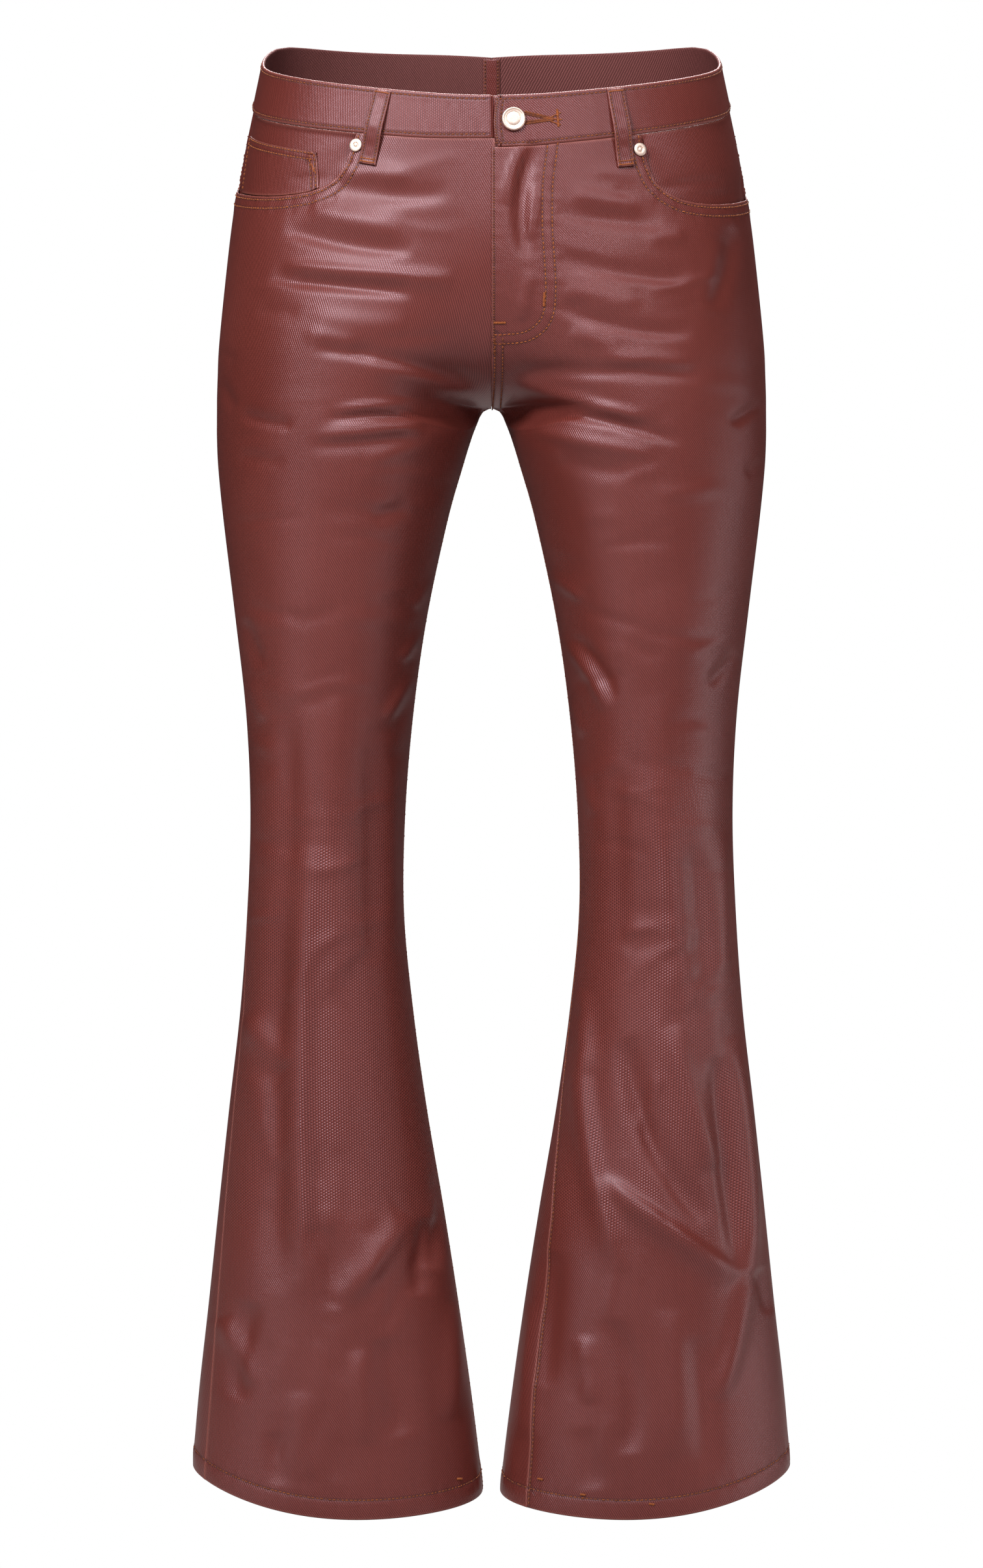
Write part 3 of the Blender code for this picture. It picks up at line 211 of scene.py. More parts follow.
def centreLine(row, back):
    # the centre seam above the crotch, the inner leg below it
    middle = spline(rise[:, 2:4] if back else rise[:, 0:2], np.minimum(row, crotchRow))
    seam = np.concatenate([np.zeros_like(middle[..., :1]), middle], axis=-1)
    leg = spline(innerLeg, np.maximum(row - crotchRow, 0.0))
    return np.where((row < crotchRow)[..., None], seam, leg)


def leaving(row, back, slope):
    # a row leaves across the centre seam, along Y at the inner leg, and between them at the crotch
    above = row < crotchRow
    nudge = 2e-3
    down = unit(centreLine(np.where(above, row, row + nudge), back)
                - centreLine(np.where(above, row - nudge, row), back))
    turn = math.pi / 4 * (1.0 - smooth(np.abs(row - crotchRow) / 4.0))[..., None]
    across = np.zeros_like(down)
    across[..., 0] = 1.0
    outward = np.zeros_like(down)
    outward[..., 1] = 1.0 if back else -1.0
    outward[..., 2] = slope * outward[..., 1]
    seam = across * np.cos(turn) - down * np.sin(turn)
    leg = outward * np.cos(turn) + down * np.sin(turn)
    return np.where(above[..., None], seam, leg)


def cubic(points, t):
    # a cubic curve through four control points
    a, b, c, d = points
    s = 1.0 - t
    return a * s ** 3 + b * 3.0 * s * s * t + c * 3.0 * s * t * t + d * t ** 3


curveLook = {"lean": 0.5, "curlRate": 2.0, "curl": 0.3, "innerReach": 0.39, "outerReach": 0.55}


def quarterCurves(turn, row):
    # a row is four cubic curves: inner front, outer front, outer back, inner back
    place = np.moveaxis(spline(sections, row), -1, 0)
    sideZ, sideX, sideY, frontX, frontY, frontDz, backX, backY, backDz = place
    zero = np.zeros_like(sideZ)
    frontMid, backMid = centreLine(row, False), centreLine(row, True)
    front = np.stack([frontX, frontY, sideZ + frontDz], -1)
    side = np.stack([sideX, sideY, sideZ], -1)
    back = np.stack([backX, backY, sideZ + backDz], -1)
    climb = (back[..., 2] - front[..., 2]) / (backY - frontY)
    frontLean = curveLook["lean"] * (sideZ - frontMid[..., 2]) / (sideX - frontMid[..., 0])
    backLean = curveLook["lean"] * (sideZ - backMid[..., 2]) / (sideX - backMid[..., 0])
    curl = np.clip(curveLook["curlRate"] * (frontY - frontMid[..., 1]) / frontX, 0.0, curveLook["curl"])
    acrossFront = np.stack([zero + 1.0, curl, frontLean], -1)
    acrossBack = np.stack([zero + 1.0, zero, backLean], -1)
    alongSide = np.stack([zero, zero + 1.0, climb], -1)

    def reach(a, b):
        return curveLook["innerReach"] * np.linalg.norm(b - a, axis=-1, keepdims=True)

    def handle(a, b, axis):
        return curveLook["outerReach"] * np.abs(b - a)[..., axis:axis + 1]

    curves = (
        (frontMid, frontMid + leaving(row, False, climb) * reach(frontMid, front),
         front - acrossFront * reach(frontMid, front), front),
        (front, front + acrossFront * handle(front, side, 0), side - alongSide * handle(front, side, 1), side),
        (side, side + alongSide * handle(side, back, 1), back + acrossBack * handle(side, back, 0), back),
        (back, back - acrossBack * reach(back, backMid),
         backMid + leaving(row, True, climb) * reach(back, backMid), backMid),
    )
    out = np.zeros_like(side)
    for n, points in enumerate(curves):
        t = (2.0 * turn - n)[..., None]
        inside = (t >= 0.0) & ((t < 1.0) | (n == 3))
        out = np.where(inside, cubic(points, np.clip(t, 0.0, 1.0)), out)
    return out


backLift = ((1.0, 1.12, 1.3, 1.5, 2.0), (0.0, 0.0130, 0.0085, 0.0045, 0.0))  # turns, rise above the sections
turnCount, turnStep, rowStep, guard = 401, 0.005, 0.02, 44  # guard: columns kept past each centre line
firstTurn = -guard * turnStep
roundLook = {"turns": 0.06, "fade": 0.3, "meanRows": 14, "crotch": 1.2}


def plainTable():
    # the surface without folds on a fine grid of turns and rows, +X side: each row rounded off by
    # a weighted mean along it, and the rows by a short mean down the leg
    turns = np.arange(turnCount) * turnStep
    rows = np.arange(round(hemRow / rowStep) + 1) * rowStep
    turn, row = np.meshgrid(turns, rows, indexing="ij")
    raw = quarterCurves(turn, row)
    raw[..., 2] += np.interp(turn, backLift[0], backLift[1]) * (1.0 - smooth((row - bandRow) / hipRows))
    spacing = roundLook["turns"] * smooth(np.minimum(turns, 2.0 - turns) / roundLook["fade"])
    rounded = np.zeros_like(raw)
    for n, weight in enumerate((1, 4, 6, 4, 1)):
        at = (turns + (n - 2) * spacing) / turnStep
        low = np.minimum(at.astype(int), turnCount - 2)
        share = (at - low)[:, None, None]
        rounded += weight / 16 * (raw[low] * (1.0 - share) + raw[low + 1] * share)
    half = roundLook["meanRows"]
    weights = np.hanning(2 * half + 3)[1:-1]
    weights /= weights.sum()
    head = 2.0 * rounded[:, :1] - rounded[:, half:0:-1]
    tail = 2.0 * rounded[:, -1:] - rounded[:, -2:-half - 2:-1]
    padded = np.concatenate([head, rounded, tail], axis=1)
    out = np.zeros_like(rounded)
    for n, weight in enumerate(weights):
        out += weight * padded[:, n:n + rounded.shape[1]]
    nearCrotch = np.exp(-((rows - crotchRow) / roundLook["crotch"]) ** 2)[None, :, None]
    return rounded * nearCrotch + out * (1.0 - nearCrotch)


def withNeighbours(table):
    # more columns past both centre lines: the other half's above the crotch, the leg's own below
    mirror = np.array([-1.0, 1.0, 1.0])
    split = round(crotchRow / rowStep)
    before, after = table[guard:0:-1] * mirror, table[-2:-guard - 2:-1] * mirror
    before[:, split + 1:] = table[-guard - 1:-1, split + 1:]
    after[:, split + 1:] = table[1:guard + 1, split + 1:]
    return np.concatenate([before, table, after])


def tableNormals(table, side):
    # outward normals from the steps along and down the surface
    along = np.gradient(table, axis=0)
    down = np.gradient(table, axis=1)
    return unit(np.cross(down, along)) * side


creaseLook = {"hips": 1.35, "legs": 1.8, "legsFrom": -290 * mm, "narrow": 0.82, "reach": 3.2, "facing": 0.6}


def creaseHeight(points, normals, face, creases):
    # each crease is a bell across its bowed line, fading at its ends and where the cloth turns away
    height = np.zeros(points.shape[:-1])
    facing = smooth(face * normals[..., 1] / creaseLook["facing"])
    for x0, z0, x1, z1, bow, width, tall, lean in np.array(creases) * ([mm] * 7 + [1.0]):
        width = width * creaseLook["narrow"]
        pad = creaseLook["reach"] * width + abs(bow)
        near = np.nonzero((points[..., 0] > min(x0, x1) - pad) & (points[..., 0] < max(x0, x1) + pad)
                          & (points[..., 2] > min(z0, z1) - pad) & (points[..., 2] < max(z0, z1) + pad)
                          & (facing > 0.0))
        run = math.hypot(x1 - x0, z1 - z0)
        alongX, alongZ = (x1 - x0) / run, (z1 - z0) / run
        dx, dz = points[near][:, 0] - x0, points[near][:, 2] - z0
        t = (dx * alongX + dz * alongZ) / run
        across = (dz * alongX - dx * alongZ - bow * 4.0 * t * (1.0 - t)) / width
        across = across / (1.0 + lean * np.tanh(2.0 * across))
        ends = np.clip(1.0 - (2.0 * t - 1.0) ** 4, 0.0, 1.0)
        strength = creaseLook["legs" if z0 < creaseLook["legsFrom"] else "hips"]
        height[near] += strength * tall * np.exp(-across ** 2) * ends * facing[near]
    return height


softLook = {  # millimetres, and slopes in radians
    "count": 170, "z": (-1010, -70), "legZ": (-1010, -600, -300, -70), "legX": (115, 122, 108, 90),
    "spread": 75, "thighZ": -300, "legSpread": 0.75, "uprightFrom": 560, "uprightOver": 200,
    "upright": (1.1, 1.9), "level": (-0.35, 0.35), "reach": (14, 34), "bow": (-3, 3), "width": (4, 9),
    "height": (0.15, 0.55)}


def softCreases(seed):
    # small faint creases scattered over one face: level on hips and knees, upright down the flares
    random, look = np.random.default_rng(seed), softLook
    rows = []
    for _ in range(look["count"]):
        z = random.uniform(*look["z"])
        legX = np.interp(z, look["legZ"], look["legX"])
        half = random.choice((-1, 1))
        spread = random.uniform(-look["spread"], look["spread"])
        x = half * (legX + spread * (look["legSpread"] if z < look["thighZ"] else 1.0))
        upright = smooth((-z - look["uprightFrom"]) / look["uprightOver"])
        slope = upright * random.uniform(*look["upright"]) + (1 - upright) * random.uniform(*look["level"])
        reach = random.uniform(*look["reach"])
        dx, dz = reach * math.cos(slope), reach * math.sin(slope)
        rows.append((x - dx, z - dz, x + dx, z + dz, random.uniform(*look["bow"]), random.uniform(*look["width"]),
                     random.choice((-1, 1)) * random.uniform(*look["height"]), 0.0))
    return rows


def clothTables():
    # points, normals and metric lengths for the wearer's right (0) and left (1) half, and the
    # places of both laid flat: lengths along each row of the smooth surface, and its heights
    plain = withNeighbours(plainTable())
    wideStep = np.linalg.norm(np.diff(plain, axis=0), axis=-1)
    along = np.concatenate([np.zeros((1, wideStep.shape[1])), np.cumsum(wideStep, axis=0)])
    laid = np.stack([along - along[guard], plain[..., 2]], -1)
    points, normals, wide, tall = [], [], [], []
    for side in (-1, 1):
        table = plain * np.array([side, 1.0, 1.0])
        normal = tableNormals(table, side)
        height = creaseHeight(table, normal, -1, frontCreases + tuple(softCreases(5)))
        height += creaseHeight(table, normal, 1, backCreases + tuple(softCreases(8)))
        table = table + normal * height[..., None]
        points.append(table)
        normals.append(tableNormals(table, side))
        wide.append(np.linalg.norm(np.gradient(table, turnStep, axis=0), axis=-1))
        tall.append(np.linalg.norm(np.gradient(table, rowStep, axis=1), axis=-1))
    return np.stack(points), np.stack(normals), np.stack(wide), np.stack(tall), np.stack([laid, laid])


clothPoints, clothNormals, perTurnLength, perRowLength, clothLaid = clothTables()
print("cloth surface ready:", clothPoints.shape)


def take(table, turn, row, side):
    # linear between the four table entries round a place
    turn, row, side = np.broadcast_arrays(np.asarray(turn, float), np.asarray(row, float), side)
    a = np.clip((turn - firstTurn) / turnStep, 0.0, table.shape[1] - 1.001)
    b = np.clip(row / rowStep, 0.0, table.shape[2] - 1.001)
    i, j = a.astype(int), b.astype(int)
    half = (side > 0).astype(int)
    extra = (np.newaxis,) * (table.ndim - 3)
    f, g = (a - i)[(...,) + extra], (b - j)[(...,) + extra]
    return ((table[half, i, j] * (1 - f) + table[half, i + 1, j] * f) * (1 - g)
            + (table[half, i, j + 1] * (1 - f) + table[half, i + 1, j + 1] * f) * g)


def onCloth(turn, row, side, level=0.0):
    # points at a height over the cloth
    return take(clothPoints, turn, row, side) + outward(turn, row, side) * np.asarray(level)[..., None]


def outward(turn, row, side):
    # the cloth's unit normal at a place
    return unit(take(clothNormals, turn, row, side))


def perTurn(turn, row, side):
    # turns in a metre along the cloth
    return 1.0 / take(perTurnLength, turn, row, side)


def perRow(turn, row, side):
    # rows in a metre down the cloth
    return 1.0 / take(perRowLength, turn, row, side)


def locate(x, z, side, back=False):
    # turn and row of the place seen at x, z: the nearest table entry, then Newton's steps
    x, z = np.broadcast_arrays(np.asarray(x, float), np.asarray(z, float))
    lowTurn = 1.0 if back else 0.0
    turns = np.arange(lowTurn, lowTurn + 1.001, 0.05)
    rows = np.arange(0.0, hemRow + 0.001, 0.2)
    turnGrid, rowGrid = (g.ravel() for g in np.meshgrid(turns, rows))
    coarse = take(clothPoints, turnGrid, rowGrid, side)
    miss = (coarse[:, 0] - x.reshape(-1, 1)) ** 2 + (coarse[:, 2] - z.reshape(-1, 1)) ** 2
    nearest = miss.argmin(axis=1)
    turn, row = turnGrid[nearest].reshape(x.shape), rowGrid[nearest].reshape(x.shape)
    step = 0.01

    def at(turnMove, rowMove):
        return take(clothPoints, turn + turnMove, row + rowMove, side)

    for _ in range(12):
        here = at(0.0, 0.0)
        turned = (at(step, 0.0) - at(-step, 0.0)) / (2 * step)
        lowered = (at(0.0, step) - at(0.0, -step)) / (2 * step)
        missX, missZ = x - here[..., 0], z - here[..., 2]
        area = turned[..., 0] * lowered[..., 2] - lowered[..., 0] * turned[..., 2]
        area = np.where(np.abs(area) < 1e-6, 1e-6, area)
        turnMove = np.clip((missX * lowered[..., 2] - missZ * lowered[..., 0]) / area, -0.05, 0.05)
        rowMove = np.clip((missZ * turned[..., 0] - missX * turned[..., 2]) / area, -0.3, 0.3)
        turn = np.clip(turn + turnMove, lowTurn, lowTurn + 1.0)
        row = np.clip(row + rowMove, 0.0, hemRow)
    return turn, row


def outseam(row, side):
    # turn of the outer seam at a row
    return np.interp(row, seamRows, outseamTurns[side])


def inseam(row, side):
    # turn of the inner seam at a row
    return np.interp(row, seamRows, inseamTurns[side])


def bandFoot(turn, side):
    # row of the seam under the waistband, lower on the left of the front centre than on the right
    return bandRow + side * sizes["lapRows"] * (1.0 - smooth(turn))


pocketEdges = {  # edge of the front pocket's opening, from the waistband to the side seam
    -1: ((0.0990, -0.0440), (0.1025, -0.0560), (0.1080, -0.0690), (0.1170, -0.0785),
         (0.1330, -0.0845), (0.1550, -0.0862), (0.1750, -0.0838), (0.1880, -0.0785)),
    1: ((0.1095, -0.0440), (0.1125, -0.0600), (0.1180, -0.0750), (0.1270, -0.0845),
        (0.1410, -0.0905), (0.1600, -0.0918), (0.1780, -0.0890), (0.1890, -0.0835)),
}


def pocketCurve(side):
    # the opening's edge as turns and rows, through its points by a cubic
    edge = spline(np.array(pocketEdges[side]), np.linspace(0.0, 7.0, 71))
    return locate(side * edge[:, 0], edge[:, 1], side)


pocketCurves = {side: pocketCurve(side) for side in (-1, 1)}


def frontTop(turn, side):
    # row of the front panel's top edge: the waistband's seam, then the scooped pocket edge
    turns, rows = pocketCurves[side]
    seam = bandFoot(turn, side)
    scoop = np.interp(turn, np.maximum.accumulate(turns), rows)
    return np.where(turn <= turns[0], seam, np.maximum(scoop, seam))


yokeSeam = ((1.0, 1.5, 2.0), (1.95, 2.20, 2.62))  # turns and rows


def yokeFoot(turn):
    # row of the yoke's lower seam, a cubic through its three places
    turns = np.linspace(1.0, 2.0, 41)
    return np.interp(turn, turns, spline(np.array(yokeSeam[1])[:, None], (turns - 1.0) * 2.0)[:, 0])


# Meshes

def meshObject(name, points, faces, cut=None, inside=None, materials=()):
    # faces are rows of four point numbers, cut is a flat place for each point in metres
    mesh = bpy.data.meshes.new(name)
    mesh.vertices.add(len(points))
    mesh.vertices.foreach_set("co", np.asarray(points, np.float32).ravel())
    mesh.loops.add(faces.size)
    mesh.loops.foreach_set("vertex_index", faces.ravel().astype(np.int32))
    mesh.polygons.add(len(faces))
    mesh.polygons.foreach_set("loop_start", np.arange(0, faces.size, faces.shape[1], dtype=np.int32))
    mesh.update(calc_edges=True)
    for material in materials:
        mesh.materials.append(material)
    if inside is not None:
        mesh.polygons.foreach_set("material_index", np.asarray(inside, np.int32))
    if cut is not None:
        layer = mesh.uv_layers.new(name="cut")
        layer.uv.foreach_set("vector", np.asarray(cut, np.float32)[faces.ravel()].ravel())
    mesh.validate()
    mesh.shade_smooth()
    piece = bpy.data.objects.new(name, mesh)
    bpy.context.scene.collection.objects.link(piece)
    return piece


def gridFaces(rows, columns, first=0):
    # the faces between neighbouring points of a grid
    index = first + np.arange(rows * columns).reshape(rows, columns)
    return np.stack([index[:-1, :-1], index[1:, :-1], index[1:, 1:], index[:-1, 1:]], -1).reshape(-1, 4)


def flatPlaces(turn, row, side, grain, grainTurn):
    # places on the cloth laid flat, face up, with the grain down a given turn and turned by an angle
    laid = take(clothLaid, turn, row, side)
    u = (laid[..., 0] - take(clothLaid, np.full(np.shape(turn), grainTurn), row, side)[..., 0]) * side
    c, s = math.cos(grain), math.sin(grain)
    return np.stack([u * c - laid[..., 1] * s, u * s + laid[..., 1] * c], -1).reshape(-1, 2)


def clothWall(name, outer, inner, flip, materials, flat):
    # a closed wall between two grids; its back has the second material
    rows, columns = outer.shape[:2]
    index = np.arange(rows * columns).reshape(rows, columns)
    under = index + rows * columns
    top = gridFaces(rows, columns)
    bottom = gridFaces(rows, columns, rows * columns)[:, ::-1]

    def strip(a, b):
        return np.stack([a[:-1], b[:-1], b[1:], a[1:]], -1)

    edges = np.concatenate([strip(under[0], index[0]), strip(index[-1], under[-1]),
                            strip(index[:, 0], under[:, 0]), strip(under[:, -1], index[:, -1])])
    faces = np.concatenate([top, edges, bottom])
    inside = np.concatenate([np.zeros(len(top) + len(edges)), np.ones(len(bottom))])
    if flip:
        faces = faces[:, ::-1]
    return meshObject(name, np.concatenate([outer.reshape(-1, 3), inner.reshape(-1, 3)]), faces,
                      np.concatenate([flat, flat]), inside, materials)


edgeSteps = np.array([0.0, 0.15, 0.45, 1.0, 2.2]) * mm


def edged(shares, low=0.02, high=0.98):
    # shares of a width with close steps at both edges: shares, offsets and distances to the edge
    inner = shares[(shares > low) & (shares < high)]
    share = np.concatenate([np.zeros(5), inner, np.ones(5)])
    offset = np.concatenate([edgeSteps, np.zeros(len(inner)), -edgeSteps[::-1]])
    distance = np.concatenate([edgeSteps, np.full(len(inner), 1.0), edgeSteps[::-1]])
    return share, offset, distance


def rollEdge(distance, thick):
    # the drop of a folded edge: a quarter circle half the wall's thickness wide
    radius = thick / 2
    x = 1.0 - np.clip(distance / radius, 0.0, 1.0)
    return 0.94 * radius * (1.0 - np.sqrt(1.0 - x * x))


def edgedRows(base):
    # rows with close steps at both ends: rows, offsets and distances to the edge
    offset = np.concatenate([edgeSteps, np.zeros(len(base) - 2), -edgeSteps[::-1]])
    base = np.concatenate([np.full(4, base[0]), base, np.full(4, base[-1])])
    distance = np.where(offset == 0.0, 1.0, np.abs(offset))
    distance[0] = distance[-1] = 0.0
    return base, offset, distance


def gapAt(share, start=1.0, end=1.0):
    # half the gap of a seam, inwards at the first and the last share
    return sizes["seamGap"] / 2 * ((share < 1e-9) * start - (share > 1 - 1e-9) * end)


def evenRows(start, end, step, turn=0.5):
    # rows a given length apart down the cloth
    rows = np.linspace(start, end, 600)
    length = runLength(onCloth(turn, rows, 1))
    return np.interp(np.linspace(0.0, length[-1], max(2, round(length[-1] / step) + 1)), length, rows)


def shift(turn, row, side, move):
    # where a short step along the cloth leads: solved in the surface's own directions, in four parts
    turn, row, step = np.array(turn, float), np.array(row, float), 0.01
    for _ in range(4):
        high, low = np.minimum(row + step, hemRow), np.maximum(row - step, 0.0)
        a = (take(clothPoints, turn + step, row, side) - take(clothPoints, turn - step, row, side)) / (2 * step)
        b = (take(clothPoints, turn, high, side) - take(clothPoints, turn, low, side)) / (high - low)[..., None]
        aa, ab, bb = (a * a).sum(-1), (a * b).sum(-1), (b * b).sum(-1)
        va, vb = (a * move).sum(-1) / 4, (b * move).sum(-1) / 4
        area = aa * bb - ab * ab
        turn = turn + (va * bb - vb * ab) / area
        row = np.clip(row + (vb * aa - va * ab) / area, 0.0, hemRow)
    return turn, row


def runLength(points):
    # length along a line of points, from its start
    return np.concatenate([[0.0], np.cumsum(np.linalg.norm(np.diff(points, axis=0), axis=-1))])


# Seams. A seam is a line on the cloth with one row of thread on it, or two rows half apart on
# both sides. Downward lines have their positive side to the right, rightward lines above.

sewingLook = {"groove": 0.16 * mm, "grooveWidth": 1.0 * mm, "ridge": 0.30 * mm, "ridgeReach": 1.7 * mm,
              "pucker": 0.20 * mm, "puckerLength": 8.5 * mm, "puckerReach": 6.0 * mm, "reach": 18 * mm,
              "step": 1.2 * mm, "past": 1.5 * mm, "far": 4.5 * mm, "none": -0.9}
puckerWaves = ((1.0, 1.0, 0.0), (0.8, 1.73, 1.3), (0.5, 0.61, 4.0))  # share, length, start
threadLook = {"pitch": 3.2 * mm, "length": 2.5 * mm, "radius": 0.44 * mm,
              "closeUnder": 0.45, "closeLength": 0.72, "closeRadius": 0.85}


def seam(turn, row, side, half=0.0, tall=1.0, pucker=1.0, pitch=1.0, lean=0.0, tint=0.35, offset=0.0):
    # a line of even steps along the cloth, moved sideways by an offset; half is half its rows'
    # distance, tall and pucker scale its relief, and pitch, lean and tint are its thread's, tint
    # being how far its thread's colour goes from painted shade to a painted highlight
    turn, row = (np.array(v, float) for v in (turn, row))
    run = runLength(onCloth(turn, row, side))
    even = np.linspace(0.0, run[-1], max(3, round(run[-1] / sewingLook["step"])))
    turn, row = np.interp(even, run, turn), np.interp(even, run, row)
    if offset:
        turn, row = beside(turn, row, side, offset)
    points = onCloth(turn, row, side)
    across = acrossLine(points, outward(turn, row, side))
    return {"turn": turn, "row": row, "side": side, "points": points, "across": across, "run": runLength(points),
            "half": half, "tall": tall, "pucker": pucker, "pitch": pitch, "lean": lean, "tint": tint}


def acrossLine(points, normals):
    # unit directions across a line, along the cloth
    return unit(np.cross(normals, unit(np.gradient(points, axis=0))))


def beside(turn, row, side, distance):
    # the line a given distance to the positive side of another
    points = onCloth(turn, row, side)
    return shift(turn, row, side, acrossLine(points, outward(turn, row, side)) * distance)


def seamDistance(points, line):
    # signed distance of each point from a seam's line and the length along it; 1 m where out of reach
    flat, path = points.reshape(-1, 3), line["points"]
    signed, along = np.ones(len(flat)), np.zeros(len(flat))
    low, high = path.min(axis=0) - sewingLook["reach"], path.max(axis=0) + sewingLook["reach"]
    near = np.nonzero(((flat > low) & (flat < high)).all(axis=1))[0]
    for block in np.array_split(near, len(near) * len(path) // 3000000 + 1):
        square = (path ** 2).sum(axis=1)[None] - 2.0 * flat[block] @ path.T
        best = square.argmin(axis=1)
        gap = flat[block] - path[best]
        sideways = (gap * line["across"][best]).sum(axis=1)
        away = np.linalg.norm(gap, axis=1)
        past = away > np.abs(sideways) + sewingLook["past"]
        signed[block] = np.where(past, np.copysign(away, sideways), sideways)
        along[block] = line["run"][best]
    return signed.reshape(points.shape[:-1]), along.reshape(points.shape[:-1])


def sewing(points, seams):
    # level: a groove under each row of thread, the layers between two rows standing up, and
    # uneven puckers; also the signed distance to the nearest seam and half its rows' distance
    level = np.zeros(points.shape[:-1])
    nearest, half = np.ones(level.shape), np.zeros(level.shape)
    for line in seams:
        distance, along = seamDistance(points, line)
        gap = np.abs(np.abs(distance) - line["half"])
        wave = sum(share * np.sin(along * 2 * math.pi / (stretch * sewingLook["puckerLength"]) + start)
                   for share, stretch, start in puckerWaves)
        level += (line["tall"] * sewingLook["ridge"]
                  * np.exp(-(distance / (line["half"] + sewingLook["ridgeReach"])) ** 4)
                  - sewingLook["groove"] * np.exp(-(gap / sewingLook["grooveWidth"]) ** 2)
                  + line["pucker"] * sewingLook["pucker"] * wave * np.exp(-(gap / sewingLook["puckerReach"]) ** 2))
        closer = np.abs(distance) < np.abs(nearest)
        nearest, half = np.where(closer, distance, nearest), np.where(closer, line["half"], half)
    far = np.abs(np.abs(nearest) - half) > sewingLook["far"]
    return level, nearest, np.where(far, sewingLook["none"], half)


# Materials

class Shade:
    # a value in a material's nodes, so that sums and products of values read as such
    def __init__(self, tree, socket):
        self.tree, self.socket = tree, socket

    def math(self, kind, *others):
        node = makeNode(self.tree, "ShaderNodeMath", {"operation": kind}, dict(enumerate((self, *others))))
        return Shade(self.tree, node.outputs[0])

    def __add__(self, other):
        return self.math("ADD", other)

    def __sub__(self, other):
        return self.math("SUBTRACT", other)

    def __mul__(self, other):
        return self.math("MULTIPLY", other)

    def __truediv__(self, other):
        return self.math("DIVIDE", other)

    def __neg__(self):
        return self * -1.0

    def __rsub__(self, other):
        return self * -1.0 + other

    __radd__, __rmul__ = __add__, __mul__

    def sine(self):
        return self.math("SINE")

    def bell(self, width):
        # 1 at 0, falling off on both sides over the given width
        scaled = self / width
        return (scaled * scaled * -1.0).math("EXPONENT")

    def between(self, low, high):
        # 0 at low, 1 at high, smooth between them
        node = makeNode(self.tree, "ShaderNodeMapRange", {"interpolation_type": "SMOOTHSTEP"},
                        {"Value": self, "From Min": low, "From Max": high})
        return Shade(self.tree, node.outputs[0])


def makeNode(tree, kind, settings=None, inputs=None):
    # a node with its settings, then the values or links of its sockets
    node = tree.nodes.new(kind)
    for key, value in (settings or {}).items():
        setattr(node, key, value)
    for key, value in (inputs or {}).items():
        if isinstance(value, Shade):
            tree.links.new(value.socket, node.inputs[key])
        else:
            node.inputs[key].default_value = value
    return node


def newMaterial(name, **fixed):
    # a principled material with the given fixed values; returns it with its tree and shader
    material = bpy.data.materials.new(name)
    material.use_nodes = True
    tree = material.node_tree
    shader = tree.nodes["Principled BSDF"]
    for key, value in fixed.items():
        shader.inputs[key.replace("_", " ")].default_value = value
    return material, tree, shader


def noise(tree, vector, scale, detail=2.0, roughness=0.5):
    # soft noise round 0.5, scale cells in a metre
    node = makeNode(tree, "ShaderNodeTexNoise", None,
                    {"Vector": vector, "Scale": scale, "Detail": detail, "Roughness": roughness})
    return Shade(tree, node.outputs[0])


def mixColour(tree, share, a, b):
    # a * (1 - share) + b * share, for colours
    node = makeNode(tree, "ShaderNodeMix", {"data_type": "RGBA"}, {0: share, 6: a, 7: b})
    return Shade(tree, node.outputs[2])


def output(tree, kind, name, settings=None, inputs=None):
    # one named output of a new node
    return Shade(tree, makeNode(tree, kind, settings, inputs).outputs[name])


def drive(tree, shader, **values):
    # links values to a shader's sockets, named with _ for a space
    for key, value in values.items():
        tree.links.new(value.socket, shader.inputs[key.replace("_", " ")])


def bump(tree, height):
    # a normal that follows heights in metres
    return output(tree, "ShaderNodeBump", "Normal", None, {"Strength": 1.0, "Distance": 1.0, "Height": height})


twillLook = {
    "ribPeriod": 1.40 * mm, "ribAngle": math.radians(56), "yarnPeriod": 1.9 * mm, "dotPeriod": 1.85 * mm,
    "ribHeight": 0.15 * mm, "dotHeight": 0.25 * mm, "rough": 0.42, "coat": 0.14, "coatRoughness": 0.38,
    "specular": 0.62, "specularTint": (1.0, 0.80, 0.92, 1),
    # rib against valley: partly the weave's own colour, partly painted shade in the valleys and a painted highlight
    # on the rib tops
    # worn lightens edges partly as rubbing wear and partly as a painted highlight where a folded edge catches light
    "rib": (0.212, 0.045, 0.034, 1), "valley": (0.076, 0.011, 0.007, 1), "worn": (0.28, 0.088, 0.066, 1),
    # hole is a painted shade colour for the grooves along the stitch rows
    "hole": (0.050, 0.011, 0.008, 1), "holeWidth": 1.1, "holeDepth": 0.16 * mm, "rubWidth": 1.3,
    "wobbleScale": 210.0, "wobble": 3.2, "cloudScale": 9.0, "fineScale": 900.0, "streaks": (600.0, 22.0, 1.0),
    "dottedFrom": (0.50, 0.62), "dottedTo": (0.86, 0.93),
    # the back face's rib against valley: weave colour with painted shade in the valleys
    "backRib": (0.200, 0.062, 0.058, 1), "backValley": (0.075, 0.017, 0.015, 1), "backSpecular": 0.35,
    "backRough": 0.62,
}


